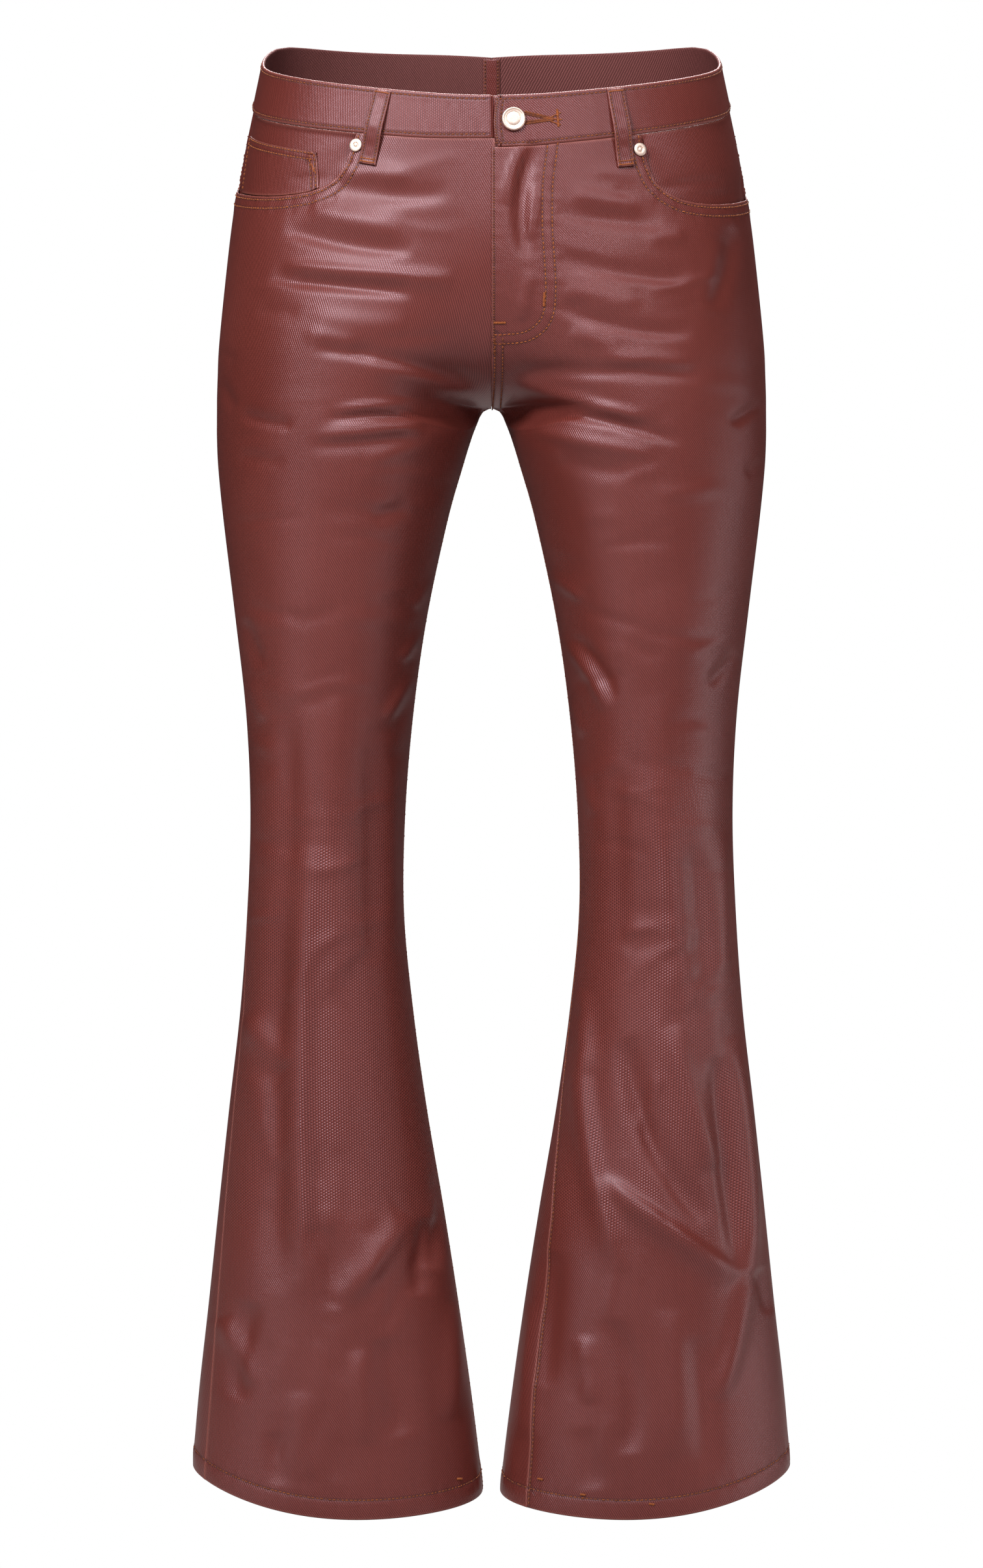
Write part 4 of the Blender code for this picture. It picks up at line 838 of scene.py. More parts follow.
def coatedTwill(name, look, backFace=False):
    # waxy coating over a twill: ribs, or a closer dotted weave from the knees to the flares, soft
    # blotches, edges lighter partly from rubbing wear and partly as a painted highlight, and painted
    # shade in the stitch grooves. Ribs are a sine across their period, dots the sum of three sines 60
    # degrees apart, and the tone is a weighted sum of weave and noises; its weave part is partly the
    # weave's own colour and partly painted shade in the valleys and a painted highlight on the tops.
    fixed = {"Coat_Roughness": look["coatRoughness"], "Specular_IOR_Level": look["specular"],
             "Specular_Tint": look["specularTint"]}
    if backFace:
        fixed = {"Specular_IOR_Level": look["backSpecular"]}
    material, tree, shader = newMaterial(name, **fixed)
    uv = output(tree, "ShaderNodeUVMap", "UV", {"uv_map": "cut"})
    parts = makeNode(tree, "ShaderNodeSeparateXYZ", None, {"Vector": uv})
    u, v = Shade(tree, parts.outputs["X"]), Shade(tree, parts.outputs["Y"])
    place = output(tree, "ShaderNodeTexCoord", "Object")
    c, s = math.cos(look["ribAngle"]), math.sin(look["ribAngle"])
    wobble = noise(tree, uv, look["wobbleScale"], 3.0) - 0.5
    turnAround = 2 * math.pi
    ribPhase = (u * s + v * c) * (turnAround / look["ribPeriod"]) + wobble * look["wobble"]
    yarnPhase = (u * c - v * s) * (turnAround / look["yarnPeriod"]) + ribPhase * 0.5
    ribs = (ribPhase.sine() * 0.5 + 0.5) * (yarnPhase.sine() * 0.17 + 0.83)
    k = turnAround / look["dotPeriod"]
    kHalf, kRise = 0.5 * k, 0.866 * k
    dots = ((u * k).sine() + (u * kHalf + v * kRise).sine() + (v * kRise - u * kHalf).sine())
    dots = (dots * 0.30 + 0.42 + wobble * 0.2).math("MINIMUM", 1.0).math("MAXIMUM", 0.0)
    patchy = noise(tree, place, 14.0, 3.0)
    dotted = ((-v + patchy * 0.08).between(*look["dottedFrom"])
              * (1.0 - (-v + patchy * 0.10).between(*look["dottedTo"])))
    weave = ribs * (1.0 - dotted) + dots * dotted
    cloud = noise(tree, place, look["cloudScale"], 4.0, 0.55)
    fine = noise(tree, place, look["fineScale"], 3.0, 0.6)
    streak = noise(tree, output(tree, "ShaderNodeMapping", "Vector", None,
                                {"Vector": uv, "Scale": Vector(look["streaks"])}), 1.0, 2.0)
    stretch = output(tree, "ShaderNodeAttribute", "Vector", {"attribute_name": "sewing"})
    sewn = makeNode(tree, "ShaderNodeSeparateXYZ", None, {"Vector": stretch})
    distance, half, edge = (Shade(tree, sewn.outputs[n]) for n in range(3))
    # the grooves along the rows of thread: a real dip in height, rougher and less coated, and darker in colour as
    # painted shade
    stitchGrooves = (distance.math("ABSOLUTE") - half).bell(look["holeWidth"])
    # edges lightened partly by rubbing wear and partly as a painted highlight on the folded edge
    rubbedAndLit = edge.bell(look["rubWidth"]) * (0.40 + fine * 0.5)
    tone = weave * 0.74 + cloud * 0.34 + fine * 0.18 + streak * 0.12 - 0.16
    if backFace:
        # back face: the weave part of the tone is partly the weave's own colour and partly painted shade in the
        # valleys
        colour = mixColour(tree, tone.between(0.1, 0.95), look["backValley"], look["backRib"])
        drive(tree, shader, Base_Color=colour, Roughness=look["backRough"] + fine * 0.2,
              Normal=bump(tree, weave * (1.7 * look["ribHeight"]) + fine * 0.03 * mm))
        return material
    # the weave part of the tone is partly the weave's own colour and partly painted shade in the valleys and a
    # painted highlight on the rib and dot tops
    colour = mixColour(tree, tone.between(0.05, 1.0), look["valley"], look["rib"])
    colour = mixColour(tree, rubbedAndLit, colour, look["worn"])
    # painted shade in the stitch grooves
    colour = mixColour(tree, stitchGrooves * 0.75, colour, look["hole"])
    height = (weave * (dotted * (look["dotHeight"] - look["ribHeight"]) + look["ribHeight"])
              + fine * (0.02 * mm) + cloud * (0.35 * mm) - stitchGrooves * look["holeDepth"] + streak * (0.02 * mm))
    drive(tree, shader, Base_Color=colour,
          Roughness=look["rough"] + (cloud - 0.5) * 0.16 + (fine - 0.5) * 0.12 + stitchGrooves * 0.2 - weave * 0.06,
          Coat_Weight=(look["coat"] * (0.45 + weave * 0.75 + (cloud - 0.5) * 0.6)) * (1.0 - stitchGrooves * 0.7),
          Normal=bump(tree, height))
    return material


# dark is the rust thread as it looks in shade and bright is the thread as it looks lit: the mix between them is
# partly painted shade and partly a painted highlight
threadColours = {"dark": (0.115, 0.028, 0.012, 1), "bright": (0.42, 0.115, 0.024, 1),
                 "fleck": (0.07, 0.015, 0.008, 1)}
metalColours = {"dull": (0.80, 0.60, 0.48, 1), "bright": (0.86, 0.74, 0.67, 1)}


def threadMaterial():
    # rust thread, from painted shade to a painted highlight where its attribute says, with fine flecks
    material, tree, shader = newMaterial("rustThread", Roughness=0.62, Sheen_Weight=0.05, Specular_IOR_Level=0.3)
    tint = output(tree, "ShaderNodeAttribute", "Fac", {"attribute_name": "tint"})
    place = output(tree, "ShaderNodeTexCoord", "Object")
    colour = mixColour(tree, tint, threadColours["dark"], threadColours["bright"])
    colour = mixColour(tree, noise(tree, place, 900.0, 2.0) * 0.6, colour, threadColours["fleck"])
    drive(tree, shader, Base_Color=colour, Normal=bump(tree, noise(tree, place, 2500.0, 2.0) * (0.08 * mm)))
    return material


def roseMetal():
    # pale rose-silver plating, satin, with a faint mottling
    material, tree, shader = newMaterial("roseMetal", Metallic=1.0)
    place = output(tree, "ShaderNodeTexCoord", "Object")
    cloud, fine = noise(tree, place, 420.0, 3.0), noise(tree, place, 2600.0, 2.0)
    colour = mixColour(tree, cloud, metalColours["dull"], metalColours["bright"])
    drive(tree, shader, Base_Color=colour, Roughness=0.44 + fine * 0.16, Normal=bump(tree, fine * (0.015 * mm)))
    return material


twillFace = coatedTwill("coatedTwill", twillLook)
twillBack = coatedTwill("twillBack", twillLook, backFace=True)
thread, metal = threadMaterial(), roseMetal()
print("materials ready")

# Cloth pieces

threadRuns = {"threadsWaist": [], "threadsFly": [], "threadsPockets": [], "threadsLegs": [], "threadsBack": []}


def putOn(piece, slot, *nodes):
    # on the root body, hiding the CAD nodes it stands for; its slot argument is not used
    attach(piece, "root")
    if nodes:
        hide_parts(*nodes)
    return piece


def pieceName(node):
    # a node's words run together, as this script names its pieces
    first, *others = node.split("_")
    return first + "".join(word.capitalize() for word in others)


def bandHalves(name):
    # the waistband halves a piece hangs from: its own side's, or both at the centre
    halves = ["waistband_left", "waistband_right"]
    return [half for half in halves if half.split("_")[-1] == name.split("_")[-1]] or halves


def putCloth(piece, name, hangsFrom):
    # a piece of cloth on the root body, its CAD node hidden
    putOn(piece, "coated_twill", name)
    return piece


def markSewing(piece, distance, half, edge, inside=(900.0, 0.0, 900.0)):
    # each point's distance from the nearest seam, that seam's half width and the distance from
    # the edge, in mm; the inner face is far from all unless it is marked like the outer one
    sew = np.stack(np.broadcast_arrays(distance, half, edge), -1).reshape(-1, 3)
    inner = sew if inside is None else np.broadcast_to(np.array(inside), sew.shape)
    layer = piece.data.attributes.new("sewing", "FLOAT_VECTOR", "POINT")
    layer.data.foreach_set("vector", np.concatenate([sew, inner]).astype(np.float32).ravel())


def edgeDistance(columnEdge, rowEdge):
    # distance to the nearest edge over a grid
    return np.minimum(columnEdge[None, :], rowEdge[:, None])


def rolled(columnEdge, rowEdge, thick):
    # drop of the rounded edges over a grid
    return np.maximum(rollEdge(columnEdge, thick)[None, :], rollEdge(rowEdge, thick)[:, None])


def moved(turn, row, side, across, down):
    # places moved by a length for each column and one for each row
    turn = turn + across[None] * perTurn(turn, row, side)
    return turn, row + down[:, None] * perRow(turn, row, side)


backGrain = 1.5  # turns from which the weave of a back piece is laid out


def sewPiece(name, place, edges, baseAt, seams, thick, hangsFrom, group, grain=0.0,
             base=None, grainTurn=0.5, drop=None, flip=None):
    # a wall on the cloth: its level from the piece's own base, its seams and its rolled edges;
    # its threads are kept for later
    turn, row, side = place
    points, normals = onCloth(turn, row, side), outward(turn, row, side)
    relief, distance, half = sewing(points, seams)
    base = baseAt(turn, row) if base is None else base
    drop = rolled(*edges, thick) if drop is None else drop
    outer = points + normals * (base + relief - drop)[..., None]
    inner = points + normals * (base - thick + drop)[..., None]
    flat = flatPlaces(turn, row, side, grain, grainTurn)
    piece = clothWall(pieceName(name), outer, inner, side < 0 if flip is None else flip, (twillFace, twillBack), flat)
    markSewing(piece, distance / mm, half / mm, edgeDistance(*edges) / mm)
    for line in seams:
        for offset in ((-line["half"], line["half"]) if line["half"] else (0.0,)):
            t, r = shift(line["turn"], line["row"], line["side"], line["across"] * offset)
            at, out = onCloth(t, r, line["side"]), outward(t, r, line["side"])
            level = baseAt(t, r) + sewing(at, seams)[0]
            threadRuns[group].append((at + out * level[:, None], out, line["pitch"], line["lean"], line["tint"]))
    return putCloth(piece, name, hangsFrom)


frontLook = {"columns": 80, "rowStep": 2.5 * mm, "scoopRows": (2.9 * mm, 9.3 * mm), "inseamRow": 1.7 * mm,
             "hemRow": 14.4 * mm, "flyEdgeRow": 1.8 * mm, "tucked": 2.5 * mm, "riseProud": 0.5 * mm,
             "flyHalf": 3.6 * mm, "riseAt": 5.4 * mm, "riseHalf": 2.9 * mm, "slant": 0.028, "slantTurns": 0.22,
             "slantRows": 0.8, "riseRows": 14 * mm}
flyCurve = ((45, -47), (43.5, -60), (40.8, -82), (40.5, -112), (42.0, -136), (43.0, -155), (42.0, -172),
            (37.5, -183), (27.0, -190.5), (14.0, -192.3), (1.5, -192.6))


def pocketLine(side):
    # turns and rows along the scooped edge and on to the side seam
    turns, rows = pocketCurves[side]
    last = outseam(2.0, side) - 0.006
    return np.append(turns, np.linspace(turns[-1], last, 9)[1:]), np.append(rows, np.full(8, rows[-1]))


def hemLine(side, start, end, away):
    # turns and rows a length above the hem
    turn = np.linspace(start, end, 160)
    return turn, hemRow - away * perRow(turn, np.full(turn.shape, hemRow - 0.1), side)


def frontSeams(side):
    # the scooped edge's two rows, the inner leg's and the hem's, and the fly's on the left front
    near, far = frontLook["scoopRows"]
    inset, apart = (near + far) / 2, (far - near) / 2
    turn, row = pocketLine(side)
    seams = [seam(turn, row, side, apart, 0.8, 1.3, offset=-side * inset, tint=0.75)]
    rows = np.linspace(8.35, hemRow - 0.03, 400)
    edge = inseam(rows, side) + frontLook["inseamRow"] * perTurn(inseam(rows, side), rows, side)
    seams.append(seam(edge, rows, side, 0.0, -0.8, 0.3, tint=0.4))
    turn, row = hemLine(side, inseam(hemRow, side) + 0.004, outseam(hemRow, side) - 0.004, frontLook["hemRow"])
    seams.append(seam(turn, row, side, 0.0, -0.4, 1.5, tint=0.5))
    if side > 0:
        line = spline(np.array(flyCurve) * mm, np.linspace(0.0, len(flyCurve) - 1.0, 90))
        turn, row = locate(line[:, 0], line[:, 1], side)
        seams.append(seam(turn, row, side, frontLook["flyHalf"], 0.8, 0.8, tint=0.8))
        rows = np.linspace(4.85, 7.9, 90)
        turn = frontLook["riseAt"] * perTurn(0.02, rows, side)
        seams.append(seam(turn, rows, side, frontLook["riseHalf"], 0.7, 0.8, tint=0.5))
        rows = np.linspace(bandFoot(0.0, 1) + 0.06, 5.2, 90)
        turn = frontLook["flyEdgeRow"] * perTurn(0.005, rows, side)
        seams.append(seam(turn, rows, side, 0.0, 0.6, 0.6, pitch=0.62, lean=0.45, tint=0.25))
    return seams


def frontTopLine(side):
    # turns and rows along the front panel's top edge, from the centre to the side seam
    turns, rows = pocketCurves[side]
    straight = np.linspace(0.0, turns[0], 60)[:-1]
    last = outseam(1.0, side)
    return (np.concatenate([straight, turns[turns < last], [last]]),
            np.concatenate([bandFoot(straight, side), rows[turns < last], [np.interp(last, turns, rows)]]))


def slant(turn, row, side):
    # how far the front's columns lean towards the centre beside the pocket's corner, in turns:
    # a bell round the corner times x * exp(1 - x), for x rows below the waistband over slantRows
    down = np.maximum(row - bandRow, 0.0) / frontLook["slantRows"]
    bell = np.exp(-((turn - pocketCurves[side][0][0]) / frontLook["slantTurns"]) ** 2)
    return frontLook["slant"] * bell * down * np.exp(1.0 - down)


def unslant(slanted, row, side):
    # the turn whose leaning column passes a place, by steps
    turn = slanted
    for _ in range(8):
        turn = slanted - slant(turn, row, side)
    return turn


def riseFade(row):
    # 1 down the rise, 0 below the crotch
    return 1.0 - smooth((row - 6.9) / 1.0)


def frontLap(turn, row, side):
    # the left front stands proud over the fly and less down the rise; the right one sinks under it
    away = turn / perTurn(turn, row, side)
    fly, rise = 1.0 - smooth((row - 4.6) / 2.4), riseFade(row)
    proud = sizes["flyProud"] * fly + frontLook["riseProud"] * (1.0 - fly) * rise
    if side < 0:
        sink = (sizes["cloth"] + sizes["seamGap"] - proud) * rise
        return -sink * (1.0 - smooth((away - mm) / (6 * mm)))
    wide = (sizes["flyWidth"] - sizes["flyFlat"]) * fly + frontLook["riseRows"] * (1.0 - fly)
    return proud * (1.0 - smooth((away - sizes["flyFlat"]) / wide))


def hemThick(turn, row, side):
    # the wall's thickness, more over the turned-up hem
    fromHem = (hemRow - row) / perRow(turn, row, side)
    return sizes["cloth"] + (sizes["hemWall"] - sizes["cloth"]) * (1.0 - smooth((fromHem - sizes["hemDepth"]) / mm))


hemLook = {"proud": 0.35 * mm, "depth": 12 * mm, "fade": 4 * mm, "edge": 6 * mm}


def hemTurn(turn, row, side):
    # the turned-up hem stands proud, less at its very edge
    fromHem = (hemRow - row) / perRow(turn, row, side)
    return (hemLook["proud"] * (1.0 - smooth((fromHem - hemLook["depth"]) / hemLook["fade"]))
            * smooth(fromHem / hemLook["edge"]))


def frontPanel(name, side):
    # columns spread evenly along the scooped top edge and lean with it, rows follow it down to
    # the hips; close steps at the edges are taken square to the edge, so by 1 / sine of its angle
    share, offset, columnEdge = edged(np.linspace(0.0, 1.0, frontLook["columns"]))
    edgeTurn, edgeRow = frontTopLine(side)
    topRun = runLength(onCloth(edgeTurn, edgeRow, side))
    even = np.linspace(0.0, topRun[-1], 900)
    edgeTurn, edgeRow = np.interp(even, topRun, edgeTurn), np.interp(even, topRun, edgeRow)
    slanted = np.maximum.accumulate(edgeTurn + slant(edgeTurn, edgeRow, side))
    along = share * topRun[-1]
    topShare = np.interp(along, even, slanted / slanted[-1])
    topRow = np.interp(along, even, edgeRow)
    topEdge = onCloth(edgeTurn, edgeRow, side)
    downward = onCloth(unslant(slanted, edgeRow + 0.03, side), edgeRow + 0.03, side) - topEdge
    square = np.linalg.norm(np.cross(unit(np.gradient(topEdge, axis=0)), unit(downward)), axis=-1)
    square = np.convolve(np.pad(square, 12, "edge"), np.full(25, 1 / 25), "valid")
    steep = 1.0 / np.interp(along, even, np.maximum(square, 0.4))
    base, rowOffset, rowEdge = edgedRows(evenRows(bandRow, hemRow, frontLook["rowStep"]))
    spread = smooth((base - 1.6) / 3.0)[:, None]
    a = topShare[None] * (1.0 - spread) + share[None] * spread
    b = np.broadcast_to(base[:, None], a.shape)
    row = b + (topRow - bandRow) * (1.0 - smooth((b - bandRow) / hipRows))
    start, end = inseam(row, side), outseam(row, side)
    turn = unslant(start + a * (end - start), row, side)
    tucked = frontLook["tucked"] * (side < 0) * riseFade(row) * (1.0 - smooth(share / 0.05))
    turn = turn + (offset + gapAt(share) - tucked) * perTurn(turn, row, side)
    down, lastStep = rowOffset[:, None], edgeSteps[-1]
    atEdge = down * steep + sizes["seamGap"] / 2 * (down < lastStep)
    lower = np.where(b == base[0], atEdge, down + lastStep * (steep - 1.0) * (1.0 - smooth(b - bandRow)))
    row = row + lower * perRow(turn, row, side)

    def baseAt(turn, row):
        return frontLap(turn, row, side) + hemTurn(turn, row, side)

    drop = rolled(columnEdge, rowEdge, sizes["cloth"])
    atHem = np.arange(len(rowEdge)) > len(rowEdge) // 2
    drop[atHem] = np.maximum(rollEdge(columnEdge, sizes["cloth"])[None, :],
                             rollEdge(rowEdge[atHem], sizes["hemWall"])[:, None])
    drop = drop * (1.0 - (side < 0) * riseFade(row) * (share < 0.5))
    return sewPiece(name, (turn, row, side), (columnEdge, rowEdge), baseAt, frontSeams(side),
                    hemThick(turn, row, side), bandHalves(name), "threadsFly" if side > 0 else "threadsLegs",
                    drop=drop)


backLook = {"columns": 58, "rowStep": 3.4 * mm, "hipRow": 2.0 * mm, "hemRow": 14.4 * mm,
            "riseRows": (2.2 * mm, 8.6 * mm), "yokeRows": (2.2 * mm, 8.4 * mm)}


def riseSeam(start, end, count, side):
    # the two rows beside the back's centre seam
    near, far = backLook["riseRows"]
    rows = np.linspace(start, end, count)
    turn = 2.0 - (near + far) / 2 * perTurn(1.98, rows, side)
    return seam(turn, rows, side, (far - near) / 2, 0.8, 1.0, tint=0.5)


def backSeams(side):
    # rows beside the side seam and above the hem, and down the seat on the left
    rows = np.linspace(2.05, 5.2, 120)
    edge = outseam(rows, side) + backLook["hipRow"] * perTurn(outseam(rows, side), rows, side)
    seams = [seam(edge, rows, side, 0.0, 0.7, 1.0, tint=0.5)]
    turn, row = hemLine(side, outseam(hemRow, side) + 0.004, 1.996 + inseam(hemRow, side), backLook["hemRow"])
    seams.append(seam(turn, row, side, 0.0, -0.4, 1.5, tint=0.5))
    if side > 0:
        seams.append(riseSeam(yokeFoot(2.0) + 0.03, 7.9, 160, side))
    return seams


def backPanel(name, side):
    # from the side seam to the centre and the inner leg, its top along the yoke's foot
    share, offset, columnEdge = edged(np.linspace(0.0, 1.0, backLook["columns"]))
    base, rowOffset, rowEdge = edgedRows(evenRows(bandRow, hemRow, backLook["rowStep"], backGrain))
    a, b = np.meshgrid(share, base)
    row = b + (yokeFoot(1.0 + a) - bandRow) * (1.0 - smooth((b - bandRow) / hipRows))
    start, end = outseam(row, side), 2.0 + inseam(row, side)
    turn = start + a * (end - start)
    turn = turn + (offset + gapAt(share))[None] * perTurn(turn, row, side)
    row = row + (rowOffset[:, None] + sizes["seamGap"] / 2 * (b == base[0])) * perRow(turn, row, side)
    return sewPiece(name, (turn, row, side), (columnEdge, rowEdge), lambda t, r: hemTurn(t, r, side),
                    backSeams(side), hemThick(turn, row, side), [name.replace("panel", "yoke")], "threadsBack",
                    grainTurn=backGrain, drop=rolled(columnEdge, rowEdge, sizes["cloth"]))


def backYoke(name, side):
    # between the waistband and the slanted seam, from the side seam to the centre
    share, offset, columnEdge = edged(np.linspace(0.0, 1.0, 90))
    low, rowOffset, rowEdge = edged(np.linspace(0.0, 1.0, 24), 0.05, 0.95)
    a, b = np.meshgrid(share, low)
    first = outseam(1.0, side)
    turn = first + a * (2.0 - first)
    row = bandRow + b * (yokeFoot(1.0 + a) - bandRow)
    turn, row = moved(turn, row, side, offset + gapAt(share), rowOffset + gapAt(low))
    near, far = backLook["yokeRows"]
    turns = np.linspace(first + 0.01, 1.99, 120)
    foot = yokeFoot(1.0 + (turns - first) / (2.0 - first))
    seams = [seam(turns, foot, side, (far - near) / 2, 0.8, 1.1, offset=side * (near + far) / 2, tint=0.5)]
    if side > 0:
        seams.append(riseSeam(1.03, yokeFoot(2.0) - 0.22, 60, side))
    return sewPiece(name, (turn, row, side), (columnEdge, rowEdge), lambda t, r: 0.0 * t, seams, sizes["cloth"],
                    bandHalves(name), "threadsBack", math.radians(35), grainTurn=backGrain)


facingLook = {"deep": -3.4 * mm, "flush": -0.6 * mm, "coinFlush": -2.1 * mm, "shade": 24 * mm, "coinWall": 1.3 * mm,
              "sideFlush": -0.2 * mm, "sideDeep": -1.6 * mm, "under": 4 * mm, "atBand": 3.5 * mm}


def facingLevel(turn, row, side):
    # deep under the scooped edge, coming up towards the waistband and the side seam
    flush = facingLook["flush"] if side > 0 else facingLook["coinFlush"]
    above = (frontTop(turn, side) - row) / perRow(turn, row, side)
    atSide = smooth((turn - outseam(1.0, side) + 0.04) / 0.03)
    flush = flush + (facingLook["sideFlush"] - flush) * atSide
    deep = facingLook["deep"] + (facingLook["sideDeep"] - facingLook["deep"]) * atSide
    level = deep + (flush - deep) * smooth((above - facingLook["under"] * (1.0 - 0.6 * atSide))
                                           / (facingLook["shade"] * (1.0 - 0.7 * atSide)))
    below = (row - bandFoot(turn, side)) / perRow(turn, row, side)
    rise = np.maximum(facingLook["flush"], level) - level
    return level + rise * (1.0 - smooth(below / facingLook["atBand"]))


def pocketFacing(name, side):
    # from the waistband's foot to a little under the scooped edge
    turns, _ = pocketCurves[side]
    share, offset, columnEdge = edged(np.linspace(0.0, 1.0, 56))
    low, rowOffset, rowEdge = edged(np.linspace(0.0, 1.0, 40), 0.04, 0.96)
    a, b = np.meshgrid(share, low)
    first, last = turns[0] - 0.035, outseam(1.0, side)
    turn = first + a * (last - first)
    top = bandFoot(turn, side)
    row = top + b * (frontTop(turn + 0.045, side) + 0.28 - top)
    turn, row = moved(turn, row, side, offset + gapAt(share, start=0.0), rowOffset + gapAt(low, end=0.0))
    return sewPiece(name, (turn, row, side), (columnEdge, rowEdge), lambda t, r: facingLevel(t, r, side), [],
                    sizes["cloth"], bandHalves(name), "threadsPockets", grain=math.radians(26))


coinCorners = {"x": (-0.1790, -0.1280), "z": (-0.0365, -0.0556), "footX": (-0.1870, -0.1268),
               "footZ": (-0.0785, -0.0800)}  # outer and inner corner, as seen


def coinPocket(name):
    # a patch on the right facing between its slanted top and the scooped edge
    side = -1
    turns, rows = locate(np.array(coinCorners["x"]), np.array(coinCorners["z"]), side)
    footTurn, _ = locate(np.array(coinCorners["footX"]), np.array(coinCorners["footZ"]), side)
    footRow = frontTop(footTurn, side)
    share, offset, columnEdge = edged(np.linspace(0.0, 1.0, 36), 0.05, 0.95)
    low, rowOffset, rowEdge = edged(np.linspace(0.0, 1.0, 24), 0.07, 0.93)
    a, b = np.meshgrid(share, low)
    lowTurn = footTurn[1] + a * (footTurn[0] - footTurn[1])
    lowRow = frontTop(lowTurn, side)
    lowRow = lowRow - 2 * sizes["seamGap"] * perRow(lowTurn, lowRow, side)
    topTurn, topRow = turns[1] + a * (turns[0] - turns[1]), rows[1] + a * (rows[0] - rows[1])
    turn, row = topTurn + b * (lowTurn - topTurn), topRow + b * (lowRow - topRow)
    turn, row = moved(turn, row, side, offset, rowOffset)

    def line(span, start, end, *look, offset, tint):
        t = np.linspace(*span)
        turn, row = (a + t * (b - a) for a, b in zip(start, end))
        return seam(turn, row, side, *look, offset=offset, tint=tint)

    outerTop, innerTop = zip(turns, rows)
    outerFoot, innerFoot = zip(footTurn, footRow)
    seams = [line((0.02, 0.98, 40), innerTop, outerTop, 2.2 * mm, 0.7, 0.7, offset=3.6 * mm, tint=0.75),
             line((0.03, 0.94, 30), innerTop, innerFoot, 2.0 * mm, 0.7, 0.5, offset=-3.9 * mm, tint=0.6),
             line((0.03, 0.94, 30), outerTop, outerFoot, 0.0, 0.5, 0.5, offset=2.2 * mm, tint=0.8)]

    def baseAt(turn, row):
        return facingLevel(turn, row, side) + sizes["seamGap"] + facingLook["coinWall"]

    return sewPiece(name, (turn, row, side), (columnEdge, rowEdge), baseAt, seams, facingLook["coinWall"],
                    ["pocket_facing_right"], "threadsPockets", grain=math.radians(20))


bandLook = {"footRow": 2.7 * mm, "topRow": 3.2 * mm, "endRows": (1.3 * mm, 5.4 * mm), "lapBow": 0.024,
            "underStart": -0.36, "grain": {1: math.radians(-14), -1: math.radians(33)}}


def waistband(name, side):
    # one half, from the lap or the underlap's end to the back's centre; signed turns are below 0
    # past the front's centre, where the other side's cloth is
    first = sizes["lapStart"] if side > 0 else bandLook["underStart"]
    share, offset, columnEdge = edged(np.linspace(0.0, 1.0, 210), 0.008, 0.994)
    low, rowOffset, rowEdge = edged(np.linspace(0.0, 1.0, 18), 0.08, 0.92)
    share, low = np.meshgrid(share, low)
    signed = first + bandLook["lapBow"] * (side > 0) * (2.0 * low - 1.0) ** 2 * (1.0 - smooth(share / 0.05))
    signed = signed + share * (2.0 - first)
    sideGrid = np.where(signed < 0.0, -side, side)
    turn = np.abs(signed)
    row = low * bandFoot(turn, side)
    across, down = offset[None] + gapAt(share, start=0.0), rowOffset[:, None] + gapAt(low, start=0.0)
    turn = np.abs(signed + across * perTurn(turn, row, sideGrid))
    row = np.clip(row + down * perRow(turn, row, sideGrid), 0.0, hemRow)
    under = sizes["bandProud"] - sizes["band"] - sizes["underlap"]

    def levelFrom(signed, turn, row, sideGrid):
        if side > 0:
            return np.full(np.shape(turn), sizes["bandProud"])
        past = signed / perTurn(turn, row, sideGrid)
        return under + (sizes["bandProud"] - under) * smooth((past + 1.0 * mm) / (1.4 * mm))

    turns = np.linspace(sizes["lapStart"] + 0.004 if side > 0 else 0.03, 1.992, 300)
    seams = []
    for away, start in ((-bandLook["footRow"], bandFoot(turns, side)), (bandLook["topRow"], np.zeros(turns.shape))):
        seams.append(seam(turns, start + away * perRow(turns, start, side), side, 0.0, 0.5, 0.5, tint=0.4))
    if side > 0:
        for away, pitch, lean in zip(bandLook["endRows"], (0.6, 0.9), (0.5, 0.0)):
            rows = np.linspace(0.10, 0.98, 30)
            bow = bandLook["lapBow"] * (2.0 * rows / 1.1 - 1.0) ** 2
            end = sizes["lapStart"] + bow + away * perTurn(0.02, rows, side)
            seams.append(seam(end, rows, side, 0.0, 0.4, 0.15, pitch=pitch, lean=lean, tint=0.3))
    return sewPiece(name, (turn, row, sideGrid), (columnEdge, rowEdge), lambda t, r: levelFrom(t, t, r, side), seams,
                    sizes["band"], [], "threadsWaist", bandLook["grain"][side],
                    levelFrom(signed, turn, row, sideGrid), 0.0, flip=side < 0)


loopLook = {"width": 12.2 * mm, "wall": 1.6 * mm, "rise": 2.6 * mm, "rows": 1.7 * mm, "lay": 0.8 * mm,
            "grain": math.radians(48)}
loops = (  # name, face, and its top and foot as seen
    ("belt_loop_front_right", -1, -0.0786, -0.0123, -0.0900, -0.0668),
    ("belt_loop_front_left", -1, 0.0895, -0.0108, 0.0975, -0.0680),
    ("belt_loop_back_right", 1, -0.1060, 0.0265, -0.1120, -0.0290),
    ("belt_loop_back_left", 1, 0.1060, 0.0265, 0.1120, -0.0290),
    ("belt_loop_back_centre", 1, 0.0, 0.0345, 0.0, -0.0215),
)


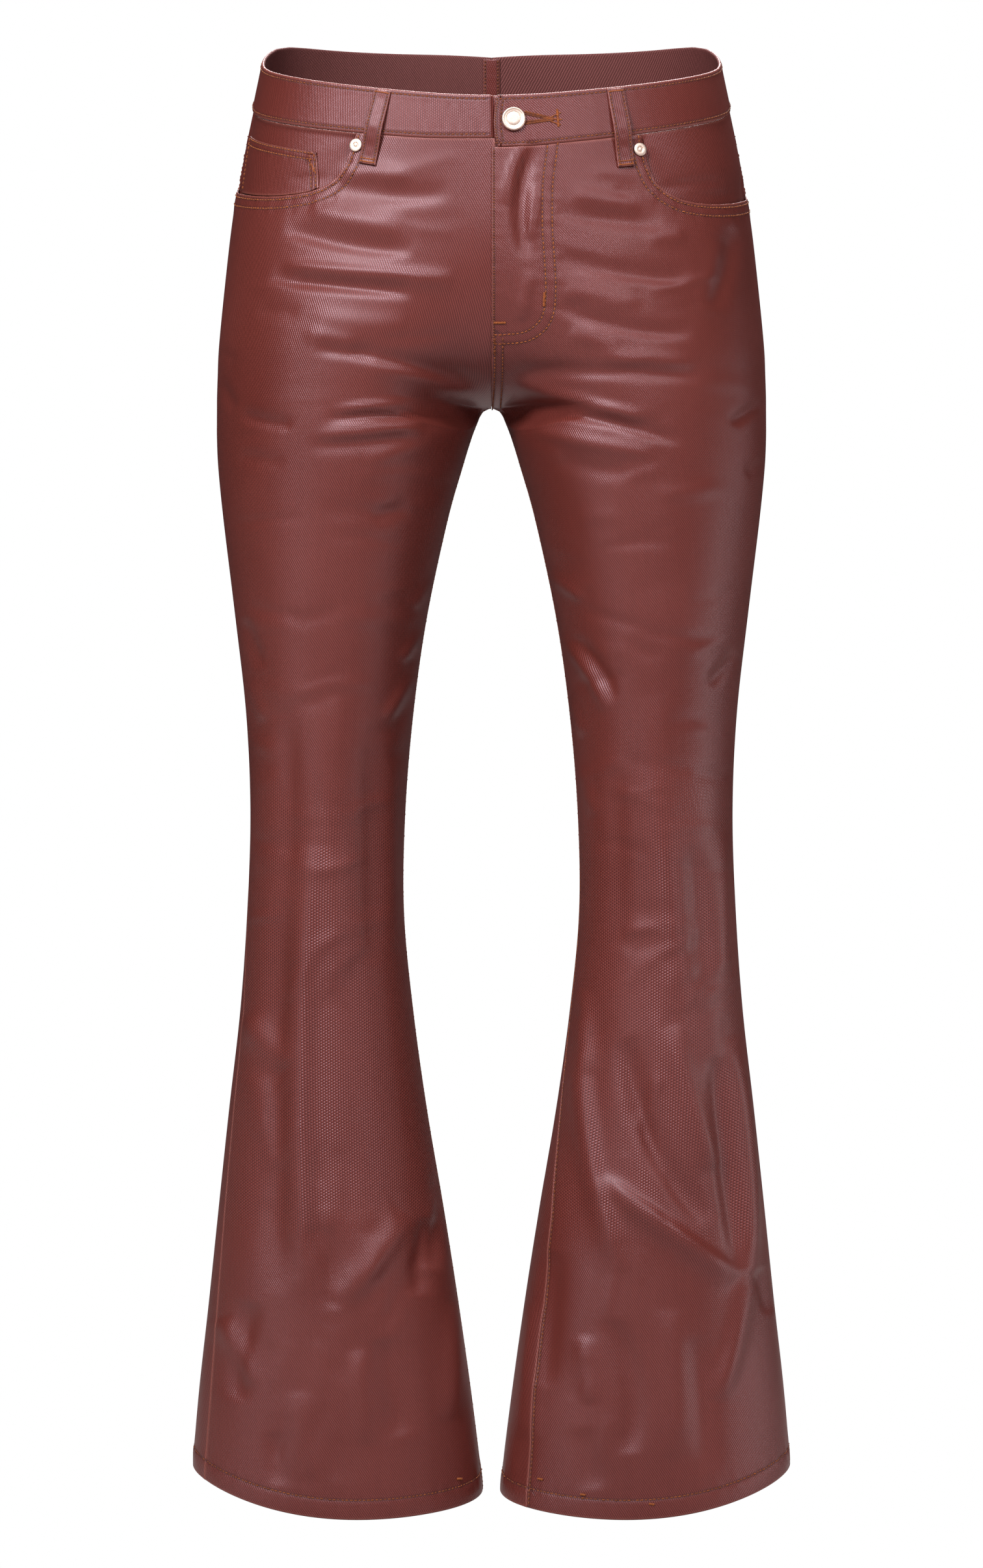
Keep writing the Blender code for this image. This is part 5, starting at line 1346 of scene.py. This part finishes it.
def beltLoop(name, face, topX, topZ, footX, footZ):
    # a folded strip over the waistband, raised in the middle, sewn down at its ends
    share, offset, columnEdge = edged(np.linspace(0.0, 1.0, 16), 0.2, 0.8)
    low, rowOffset, rowEdge = edged(np.linspace(0.0, 1.0, 60), 0.05, 0.95)
    length = math.hypot(footX - topX, footZ - topZ)

    def onStrip(a, b):
        x = topX + b * (footX - topX) + a * loopLook["width"]
        z = topZ + b * (footZ - topZ) + a * loopLook["width"] * (footX - topX) / (topZ - footZ)
        side = np.where(x < 0.0, -1, 1)
        turn, row = np.zeros(x.shape), np.zeros(x.shape)
        for half in (-1, 1):
            some = side == half
            if some.any():
                turn[some], row[some] = locate(x[some], z[some], half, face > 0)
        return turn, row, side

    def levelOn(a, b, turn, row, side):
        foot = bandFoot(turn, side) if face < 0 else bandRow
        below = ((row - foot) / perRow(turn, row, side) - 1 * mm) / (8 * mm)
        proud, lay = sizes["bandProud"], loopLook["lay"]
        seat = proud + sizes["seamGap"] - (proud - lay + sizes["seamGap"]) * smooth(below)
        rise = loopLook["rise"] * np.sin(math.pi * smooth(b)) ** 1.5
        rib = 0.28 * mm * (np.abs(2.0 * a) ** 2 - 0.5) + 0.10 * mm * np.sin(b * 40.0) * np.cos(a * 6.0)
        return seat + rise + loopLook["wall"] + rib

    def threadAlong(a, b, lift, pitch, lean, tint):
        turn, row, side = onStrip(a, b)
        at = onCloth(turn, row, side, levelOn(a, b, turn, row, side) + lift)
        threadRuns["threadsWaist"].append((at, outward(turn, row, side), pitch, lean, tint))

    a, b = np.meshgrid(share - 0.5 + offset / loopLook["width"], low + rowOffset / length)
    turn, row, side = onStrip(a, b)
    drop = rolled(columnEdge, rowEdge, loopLook["wall"])
    level = levelOn(a, b, turn, row, side)
    outer = onCloth(turn, row, side, level - drop)
    inner = onCloth(turn, row, side, level - loopLook["wall"] + drop)
    flat = flatPlaces(turn, row, side, loopLook["grain"], 1.0 + face)
    piece = clothWall(pieceName(name), outer, inner, face > 0, (twillFace, twillBack), flat)
    sideways = (0.5 - np.abs(a)) * loopLook["width"] - loopLook["rows"]
    markSewing(piece, sideways / mm, 0.0 * a, edgeDistance(columnEdge, rowEdge) / mm)
    reach = 0.5 - loopLook["rows"] / loopLook["width"]
    for edge in (-reach, reach):
        threadAlong(np.full(60, edge), np.linspace(0.02, 0.98, 60), -0.05 * mm, 0.75, 0.0, 0.35)
    for down, tint in ((0.035, 0.9), (0.93, 0.7), (0.975, 1.0)):
        threadAlong(np.linspace(-0.42, 0.42, 24), np.full(24, down), 0.05 * mm, 0.3, 0.25, tint)
    return putCloth(piece, name, bandHalves(name))


stripLook = {"width": 12.6 * mm, "wall": 1.3 * mm, "curl": 0.45 * mm, "wave": 0.03 * mm, "row": 1.5,
             "threadAt": 0.38, "grain": math.radians(60)}


def backStrip(name):
    # the strip inside the waistband over its centre seam, its edges curled up by cross ** 6
    width = stripLook["width"]
    a, b = np.meshgrid(np.linspace(-0.5, 0.5, 16), np.linspace(0.04, 0.97, 30))
    side = np.where(a < 0.0, -1, 1)
    turn = 2.0 - np.abs(a) * width * perTurn(1.985, b, side)
    level = sizes["bandProud"] - sizes["band"] - sizes["seamGap"]
    cross = np.abs(np.linspace(-0.5, 0.5, 16))[None] * 2.0
    curl = stripLook["curl"] * cross ** 6 + 0.0 * b
    outer = onCloth(turn, b, side, level - curl * 0.2)
    inner = onCloth(turn, b, side, level - stripLook["wall"] + curl + stripLook["wave"] * np.sin(b * 25.0))
    flat = flatPlaces(turn, b, side, stripLook["grain"], 2.0)
    piece = clothWall(pieceName(name), outer, inner, True, (twillFace, twillFace), flat)
    edge = (1.0 - cross) * (width / 2 / mm)
    markSewing(piece, edge - stripLook["row"], 0.0 * a, edge, inside=None)
    for half in (-1, 1):
        rows = np.linspace(0.06, 0.95, 40)
        turns = 2.0 - stripLook["threadAt"] * width * perTurn(1.985, rows, half)
        at = onCloth(turns, rows, half, np.full(40, level - stripLook["wall"]))
        threadRuns["threadsWaist"].append((at, -outward(turns, rows, half), 0.8, 0.0, 0.2))
    return putCloth(piece, name, bandHalves(name))


pocketLook = {"wall": 1.3 * mm, "lay": 0.8 * mm, "point": 16 * mm, "rows": (1.8 * mm, 7.8 * mm), "topRow": 13 * mm,
              "width": 0.12, "length": 0.13, "rowWidth": 0.115}
pocketCorners = ((0.1700, -0.1080), (0.0500, -0.0940), (0.1620, -0.2300), (0.0600, -0.2240))


def backPocket(name, side):
    # a patch between four corners as seen from behind, its foot drawn down to a point
    outerTop, innerTop, outerLow, innerLow = (np.array(corner) for corner in pocketCorners)

    def seenAt(a, b):
        top = outerTop + a[..., None] * (innerTop - outerTop)
        low = outerLow + a[..., None] * (innerLow - outerLow)
        low[..., 1] -= pocketLook["point"] * (1.0 - np.abs(2.0 * a - 1.0))
        seen = top + b[..., None] * (low - top)
        return locate(side * seen[..., 0], seen[..., 1], side, True)

    share, offset, columnEdge = edged(np.linspace(0.0, 1.0, 50), 0.03, 0.97)
    low, rowOffset, rowEdge = edged(np.linspace(0.0, 1.0, 54), 0.03, 0.97)
    a, b = np.meshgrid(share + offset / pocketLook["width"], low + rowOffset / pocketLook["length"])
    turn, row = seenAt(a, b)
    near, far = (inset / pocketLook["rowWidth"] for inset in pocketLook["rows"])
    seams = []
    for inset, tall in ((near, 0.6), (far, 0.4)):
        path = np.array([(inset, 0.02), (inset, 1.0 - inset), (0.5, 1.0 - inset), (1.0 - inset, 1.0 - inset),
                         (1.0 - inset, 0.02)])
        run = runLength(path * pocketLook["width"])
        even = np.linspace(0.0, run[-1], 200)
        t, r = seenAt(np.interp(even, run, path[:, 0]), np.interp(even, run, path[:, 1]))
        seams.append(seam(t, r, side, tall=tall, pucker=0.8, tint=0.5))
    across = np.linspace(0.03, 0.97, 60)
    for down in (0.02, pocketLook["topRow"] / pocketLook["length"]):
        t, r = seenAt(across, np.full(60, down))
        seams.append(seam(t, r, side, tall=0.5, pucker=0.6, tint=0.5))

    def baseAt(turn, row):
        return np.full(np.shape(turn), pocketLook["lay"] + pocketLook["wall"])

    return sewPiece(name, (turn, row, side), (columnEdge, rowEdge), baseAt, seams, pocketLook["wall"],
                    [name.replace("pocket", "panel")], "threadsBack", grainTurn=backGrain)


makers = (("front_panel_", frontPanel), ("back_panel_", backPanel), ("back_yoke_", backYoke),
          ("pocket_facing_", pocketFacing), ("back_pocket_", backPocket), ("waistband_", waistband))
for word, side in (("left", 1), ("right", -1)):
    for node, maker in makers:
        maker(node + word, side)
    print("cloth cut:", word)
coinPocket("coin_pocket")
for loop in loops:
    beltLoop(*loop)
backStrip("back_strip")
print("cloth pieces ready")

# Button and rivets


def placeAt(x, z, side, level):
    # origin, right, up and outward direction of a place on the front
    turn, row = locate(np.array([x]), np.array([z]), side)
    normal = outward(turn, row, side)[0]
    right = unit(np.cross(normal, np.array([0.0, 0.0, -1.0])))
    return onCloth(turn, row, side, np.array([level]))[0], right, np.cross(normal, right), normal


def turnedPiece(name, node, profile, place, steps):
    # a profile of radii and heights turned about the place's normal, closed at both poles
    origin, right, up, normal = place
    profile = np.array(profile)
    angle = np.linspace(0.0, 2 * math.pi, steps, endpoint=False)
    round_ = np.cos(angle)[:, None] * right + np.sin(angle)[:, None] * up
    rings = origin + profile[1:-1, 0, None, None] * round_[None] + profile[1:-1, 1, None, None] * normal
    poles = [[origin + normal * profile[n, 1]] for n in (0, -1)]
    points = np.concatenate([poles[0], rings.reshape(-1, 3), poles[1]])
    index = 1 + np.arange(len(rings) * steps).reshape(len(rings), steps)
    ahead = np.roll(index, -1, axis=1)
    quads = np.stack([index[:-1], ahead[:-1], ahead[1:], index[1:]], -1).reshape(-1, 4)
    faces = np.concatenate([quads[:, [0, 1, 2]], quads[:, [0, 2, 3]],
                            np.stack([0 * index[0], ahead[0], index[0]], -1),
                            np.stack([index[-1], ahead[-1], 0 * index[-1] + len(points) - 1], -1)])
    piece = meshObject(name, points, faces, materials=(metal,))
    return putOn(piece, "rose_metal", node)


buttonLook = {"radius": 8.7 * mm, "cap": 2.6 * mm, "shank": 2.6 * mm, "at": (0.0160, -0.0345), "lift": 0.8 * mm,
              "steps": 72}
rivetLook = {"radius": 4.9 * mm, "height": 1.6 * mm, "lift": 0.8 * mm, "steps": 44}
capShape = (  # radius and height of the cap's outline, as shares, from its foot over the rim and ring
    (0.88, 0.0), (0.97, 0.10), (1.0, 0.34), (0.99, 0.60), (0.95, 0.82), (0.90, 0.93), (0.84, 0.90), (0.80, 0.80),
    (0.76, 0.76), (0.66, 0.77), (0.62, 0.74), (0.60, 0.66), (0.57, 0.66), (0.55, 0.74), (0.52, 0.80), (0.30, 0.81),
    (0.0, 0.81))
rivetShape = (
    (0.0, 0.0), (0.97, 0.0), (1.0, 0.20), (0.985, 0.46), (0.94, 0.70), (0.86, 0.80), (0.64, 0.87), (0.44, 0.88),
    (0.38, 0.78), (0.34, 0.60), (0.28, 0.60), (0.25, 0.92), (0.18, 1.04), (0.0, 1.08))
rivets = (("rivet_right", -1, 0.0983, -0.0522), ("rivet_left", 1, 0.1077, -0.0550))
buttonFoot = sizes["bandProud"] - sizes["band"] - sizes["underlap"] + buttonLook["lift"]
buttonPlace = placeAt(*buttonLook["at"], 1, buttonFoot)
capFoot = sizes["bandProud"] + buttonLook["lift"] - buttonFoot
shank = [(0, 0), (buttonLook["shank"], 0), (buttonLook["shank"], capFoot)]
cap = [(radius * buttonLook["radius"], capFoot + height * buttonLook["cap"]) for radius, height in capShape]
turnedPiece("buttonCap", "shank_button", shank + cap, buttonPlace, buttonLook["steps"])
rivetProfile = np.array(rivetShape) * (rivetLook["radius"], rivetLook["height"])
for name, side, x, z in rivets:
    place = placeAt(side * x, z, side, rivetLook["lift"])
    turnedPiece(pieceName(name), name, rivetProfile, place, rivetLook["steps"])
print("button and rivets ready")

# Threads


def stitches(points, normals, pitch, length, radius, lean, tint, random):
    # short threads along a line, humped, with sunk ends; each ring of six points lies across it
    run = runLength(points)
    count = max(1, round(run[-1] / pitch))
    at = (np.arange(count) + 0.5) * run[-1] / count + random.uniform(-0.05, 0.05, count) * pitch
    middle = np.stack([np.interp(at, run, points[:, n]) for n in range(3)], -1)
    out = unit(np.stack([np.interp(at, run, normals[:, n]) for n in range(3)], -1))
    ahead = np.gradient(points, axis=0)
    ahead = unit(np.stack([np.interp(at, run, ahead[:, n]) for n in range(3)], -1))
    across = unit(np.cross(out, ahead))
    turned = lean + random.uniform(-0.10, 0.10, count)
    c, s = np.cos(turned)[:, None], np.sin(turned)[:, None]
    ahead, across = ahead * c + across * s, across * c - ahead * s
    station = np.array([-1.0, -0.66, 0.0, 0.66, 1.0])
    girth = np.array([0.45, 0.92, 1.0, 0.92, 0.45])
    angle = np.arange(6) * math.pi / 3
    hump = (0.55 - 0.95 * station ** 2)[:, None]
    shape = np.stack([np.repeat(station * length / 2, 6),
                      np.outer(girth, np.cos(angle) * 1.15).ravel() * radius,
                      (np.outer(girth, np.sin(angle) * 0.85) + hump).ravel() * radius], -1)
    poles = np.array([[-0.55 * length, 0.0, -0.8 * radius], [0.55 * length, 0.0, -0.8 * radius]])
    shape = np.concatenate([shape, poles])
    size = random.uniform(0.92, 1.08, count)[:, None, None]
    frameOf = np.stack([ahead, across, out], 1)
    verts = middle[:, None] + np.einsum("vk,ckx->cvx", shape, frameOf) * size
    shades = np.repeat(np.clip(tint + random.uniform(-0.18, 0.22, count), 0.0, 1.0), len(shape))
    return verts.reshape(-1, 3), shades, count


def stitchFaces(count):
    # triangles between the rings of each stitch and at its two poles
    ring = np.arange(6)
    ahead = (ring + 1) % 6
    faces = []
    for n in range(4):
        a, b = n * 6, n * 6 + 6
        faces += [np.stack([a + ring, b + ring, b + ahead], -1), np.stack([a + ring, b + ahead, a + ahead], -1)]
    faces += [np.stack([0 * ring + 30, ring, ahead], -1), np.stack([0 * ring + 31, 24 + ahead, 24 + ring], -1)]
    one = np.concatenate(faces)
    return (one[None, :, ::-1] + 32 * np.arange(count)[:, None, None]).reshape(-1, 3)


def threadSeen(group, x, z, side, level, pitch, lean, tint):
    # thread along a straight line seen on the front, between places in mm
    count = 30
    turn, row = locate(np.linspace(*x, count) * mm, np.linspace(*z, count) * mm, side)
    points = onCloth(turn, row, side, np.full(count, level))
    threadRuns[group].append((points, outward(turn, row, side), pitch, lean, tint))


tacks = (  # group, x from and to, z from and to, side, level
    ("threadsPockets", (-134, -130), (-57, -70), -1, -1.2 * mm),
    ("threadsFly", (38.5, 38.0), (-160, -170), 1, 0.9 * mm),
    ("threadsFly", (1.5, 10.5), (-181, -181), 1, 1.6 * mm),
    ("threadsWaist", (47.5, 48.5), (-27, -40), 1, 1.25 * mm),
    ("threadsLegs", (-26, -22), (-1027.5, -1028), -1, 0.6 * mm),
    ("threadsLegs", (34, 38), (-1026.5, -1027), 1, 0.6 * mm),
    ("threadsLegs", (65, 69), (-1036, -1036.5), 1, 0.6 * mm),
    ("threadsLegs", (115, 119), (-1042, -1042.5), 1, 0.6 * mm),
)
tackLook = {"pitch": 0.26, "lean": 1.35}
for group, x, z, side, level in tacks:
    threadSeen(group, x, z, side, level, tackLook["pitch"], tackLook["lean"], 1.0)
holeLook = {"level": 1.15 * mm, "pitch": 0.3}
holeThreads = (  # the buttonhole: x from and to, z from and to, lean, tint
    ((24, 45), (-29.0, -33.8), 1.1, 0.45), ((24, 45), (-38.0, -34.8), -1.1, 0.45),
    ((24, 40), (-30.6, -33.9), 0.9, 0.15), ((24, 40), (-36.4, -34.5), -0.9, 0.25),
    ((38, 51), (-33.6, -34.6), 0.5, 0.85), ((40, 50), (-34.8, -38.5), 0.2, 0.7),
    ((42, 50), (-33.4, -29.5), -0.3, 0.6))
for x, z, lean, tint in holeThreads:
    threadSeen("threadsWaist", x, z, 1, holeLook["level"], holeLook["pitch"], lean, tint)

for group, runs in threadRuns.items():
    random = np.random.default_rng(len(group))
    verts, shades, total = [], [], 0
    for points, normals, pitch, lean, tint in runs:
        close = pitch <= threadLook["closeUnder"]
        length = threadLook["length"] * (threadLook["closeLength"] if close else pitch)
        radius = threadLook["radius"] * (threadLook["closeRadius"] if close else 1.0)
        v, t, count = stitches(points, normals, threadLook["pitch"] * pitch, length, radius, lean, tint, random)
        verts.append(v)
        shades.append(t)
        total += count
    piece = meshObject(group, np.concatenate(verts), stitchFaces(total), materials=(thread,))
    layer = piece.data.attributes.new("tint", "FLOAT", "POINT")
    layer.data.foreach_set("value", np.concatenate(shades).astype(np.float32))
    putOn(piece, "coated_twill")
    print(group, total, "stitches")

# Stage, light and camera

stage = {"floorZ": -1.0925, "floorReach": 30.0, "floorColour": (0.36, 0.33, 0.32, 1),
         "worldColour": (0.92, 0.93, 0.96, 1), "worldStrength": 0.035,
         "cameraY": -4.5, "cameraZ": -0.5163, "lens": 139.1,
         "lights": (  # name, place, aim, width, height, watts, colour
             ("key", (-1.2, -2.3, 1.6), (0.0, 0.0, -0.02), 0.9, 0.8, 98, (1.0, 0.965, 0.98)),
             ("left", (-2.1, -2.6, 0.0), (-0.05, 0.0, -0.55), 0.9, 1.6, 11, (1.0, 0.97, 0.98)),
             ("fill", (1.4, -2.6, 1.4), (0.05, 0.0, -0.10), 1.1, 1.1, 42, (1.0, 0.97, 0.98)),
             ("right", (2.2, -0.1, -0.85), (0.15, 0.0, -0.80), 0.5, 0.9, 10, (1.0, 0.90, 0.88)),
             ("top", (0.0, -1.2, 2.4), (0.0, 0.0, -0.1), 1.6, 1.2, 25, (1.0, 1.0, 1.0)),
             ("behind", (0.3, 2.0, 2.7), (0.0, 0.0, -0.40), 1.8, 1.0, 190, (1.0, 0.985, 0.98)))}


def floor():
    # a wide pale sheet under the hems, plain white to the camera
    mesh = bpy.data.meshes.new("floor")
    reach, z = stage["floorReach"], stage["floorZ"]
    corners = [(x * reach, y * reach, z) for x, y in ((-1, -1), (1, -1), (1, 1), (-1, 1))]
    mesh.from_pydata(corners, [], [(0, 1, 2, 3)])
    material, tree, shader = newMaterial("paleFloor", Base_Color=stage["floorColour"], Roughness=0.9)
    glow = makeNode(tree, "ShaderNodeEmission", None, {"Color": (1, 1, 1, 1), "Strength": 1.0})
    seen = output(tree, "ShaderNodeLightPath", "Is Camera Ray")
    mix = makeNode(tree, "ShaderNodeMixShader", None, {0: seen})
    tree.links.new(shader.outputs[0], mix.inputs[1])
    tree.links.new(glow.outputs[0], mix.inputs[2])
    tree.links.new(mix.outputs[0], tree.nodes["Material Output"].inputs["Surface"])
    mesh.materials.append(material)
    piece = bpy.data.objects.new("floor", mesh)
    bpy.context.scene.collection.objects.link(piece)


def aim(thing, target):
    # turns a light to look at a place
    direction = Vector(target) - thing.location
    thing.rotation_euler = direction.to_track_quat("-Z", "Y").to_euler()


floor()
for name, place, target, width, height, watts, colour in stage["lights"]:
    data = bpy.data.lights.new(name, "AREA")
    data.shape, data.size, data.size_y = "RECTANGLE", width, height
    data.energy, data.color = watts, colour
    lamp = bpy.data.objects.new(name, data)
    lamp.location = place
    bpy.context.scene.collection.objects.link(lamp)
    aim(lamp, target)

world = bpy.data.worlds.new("studio")
bpy.context.scene.world = world
world.use_nodes = True
tree = world.node_tree
tree.nodes["Background"].inputs["Color"].default_value = stage["worldColour"]
tree.nodes["Background"].inputs["Strength"].default_value = stage["worldStrength"]
bright = makeNode(tree, "ShaderNodeBackground", None, {"Color": (1, 1, 1, 1), "Strength": 1.0})
mix = makeNode(tree, "ShaderNodeMixShader", None, {0: output(tree, "ShaderNodeLightPath", "Is Camera Ray")})
tree.links.new(tree.nodes["Background"].outputs[0], mix.inputs[1])
tree.links.new(bright.outputs[0], mix.inputs[2])
tree.links.new(mix.outputs[0], tree.nodes["World Output"].inputs["Surface"])

camera = bpy.data.objects.new("camera", bpy.data.cameras.new("camera"))
camera.data.lens, camera.data.sensor_width = stage["lens"], 36.0
camera.data.clip_end = 100.0
camera.location = (0.0, stage["cameraY"], stage["cameraZ"])
camera.rotation_euler = (math.pi / 2, 0.0, 0.0)
bpy.context.scene.collection.objects.link(camera)
bpy.context.scene.camera = camera
bpy.context.scene.view_settings.view_transform = "Standard"
print("stage ready")
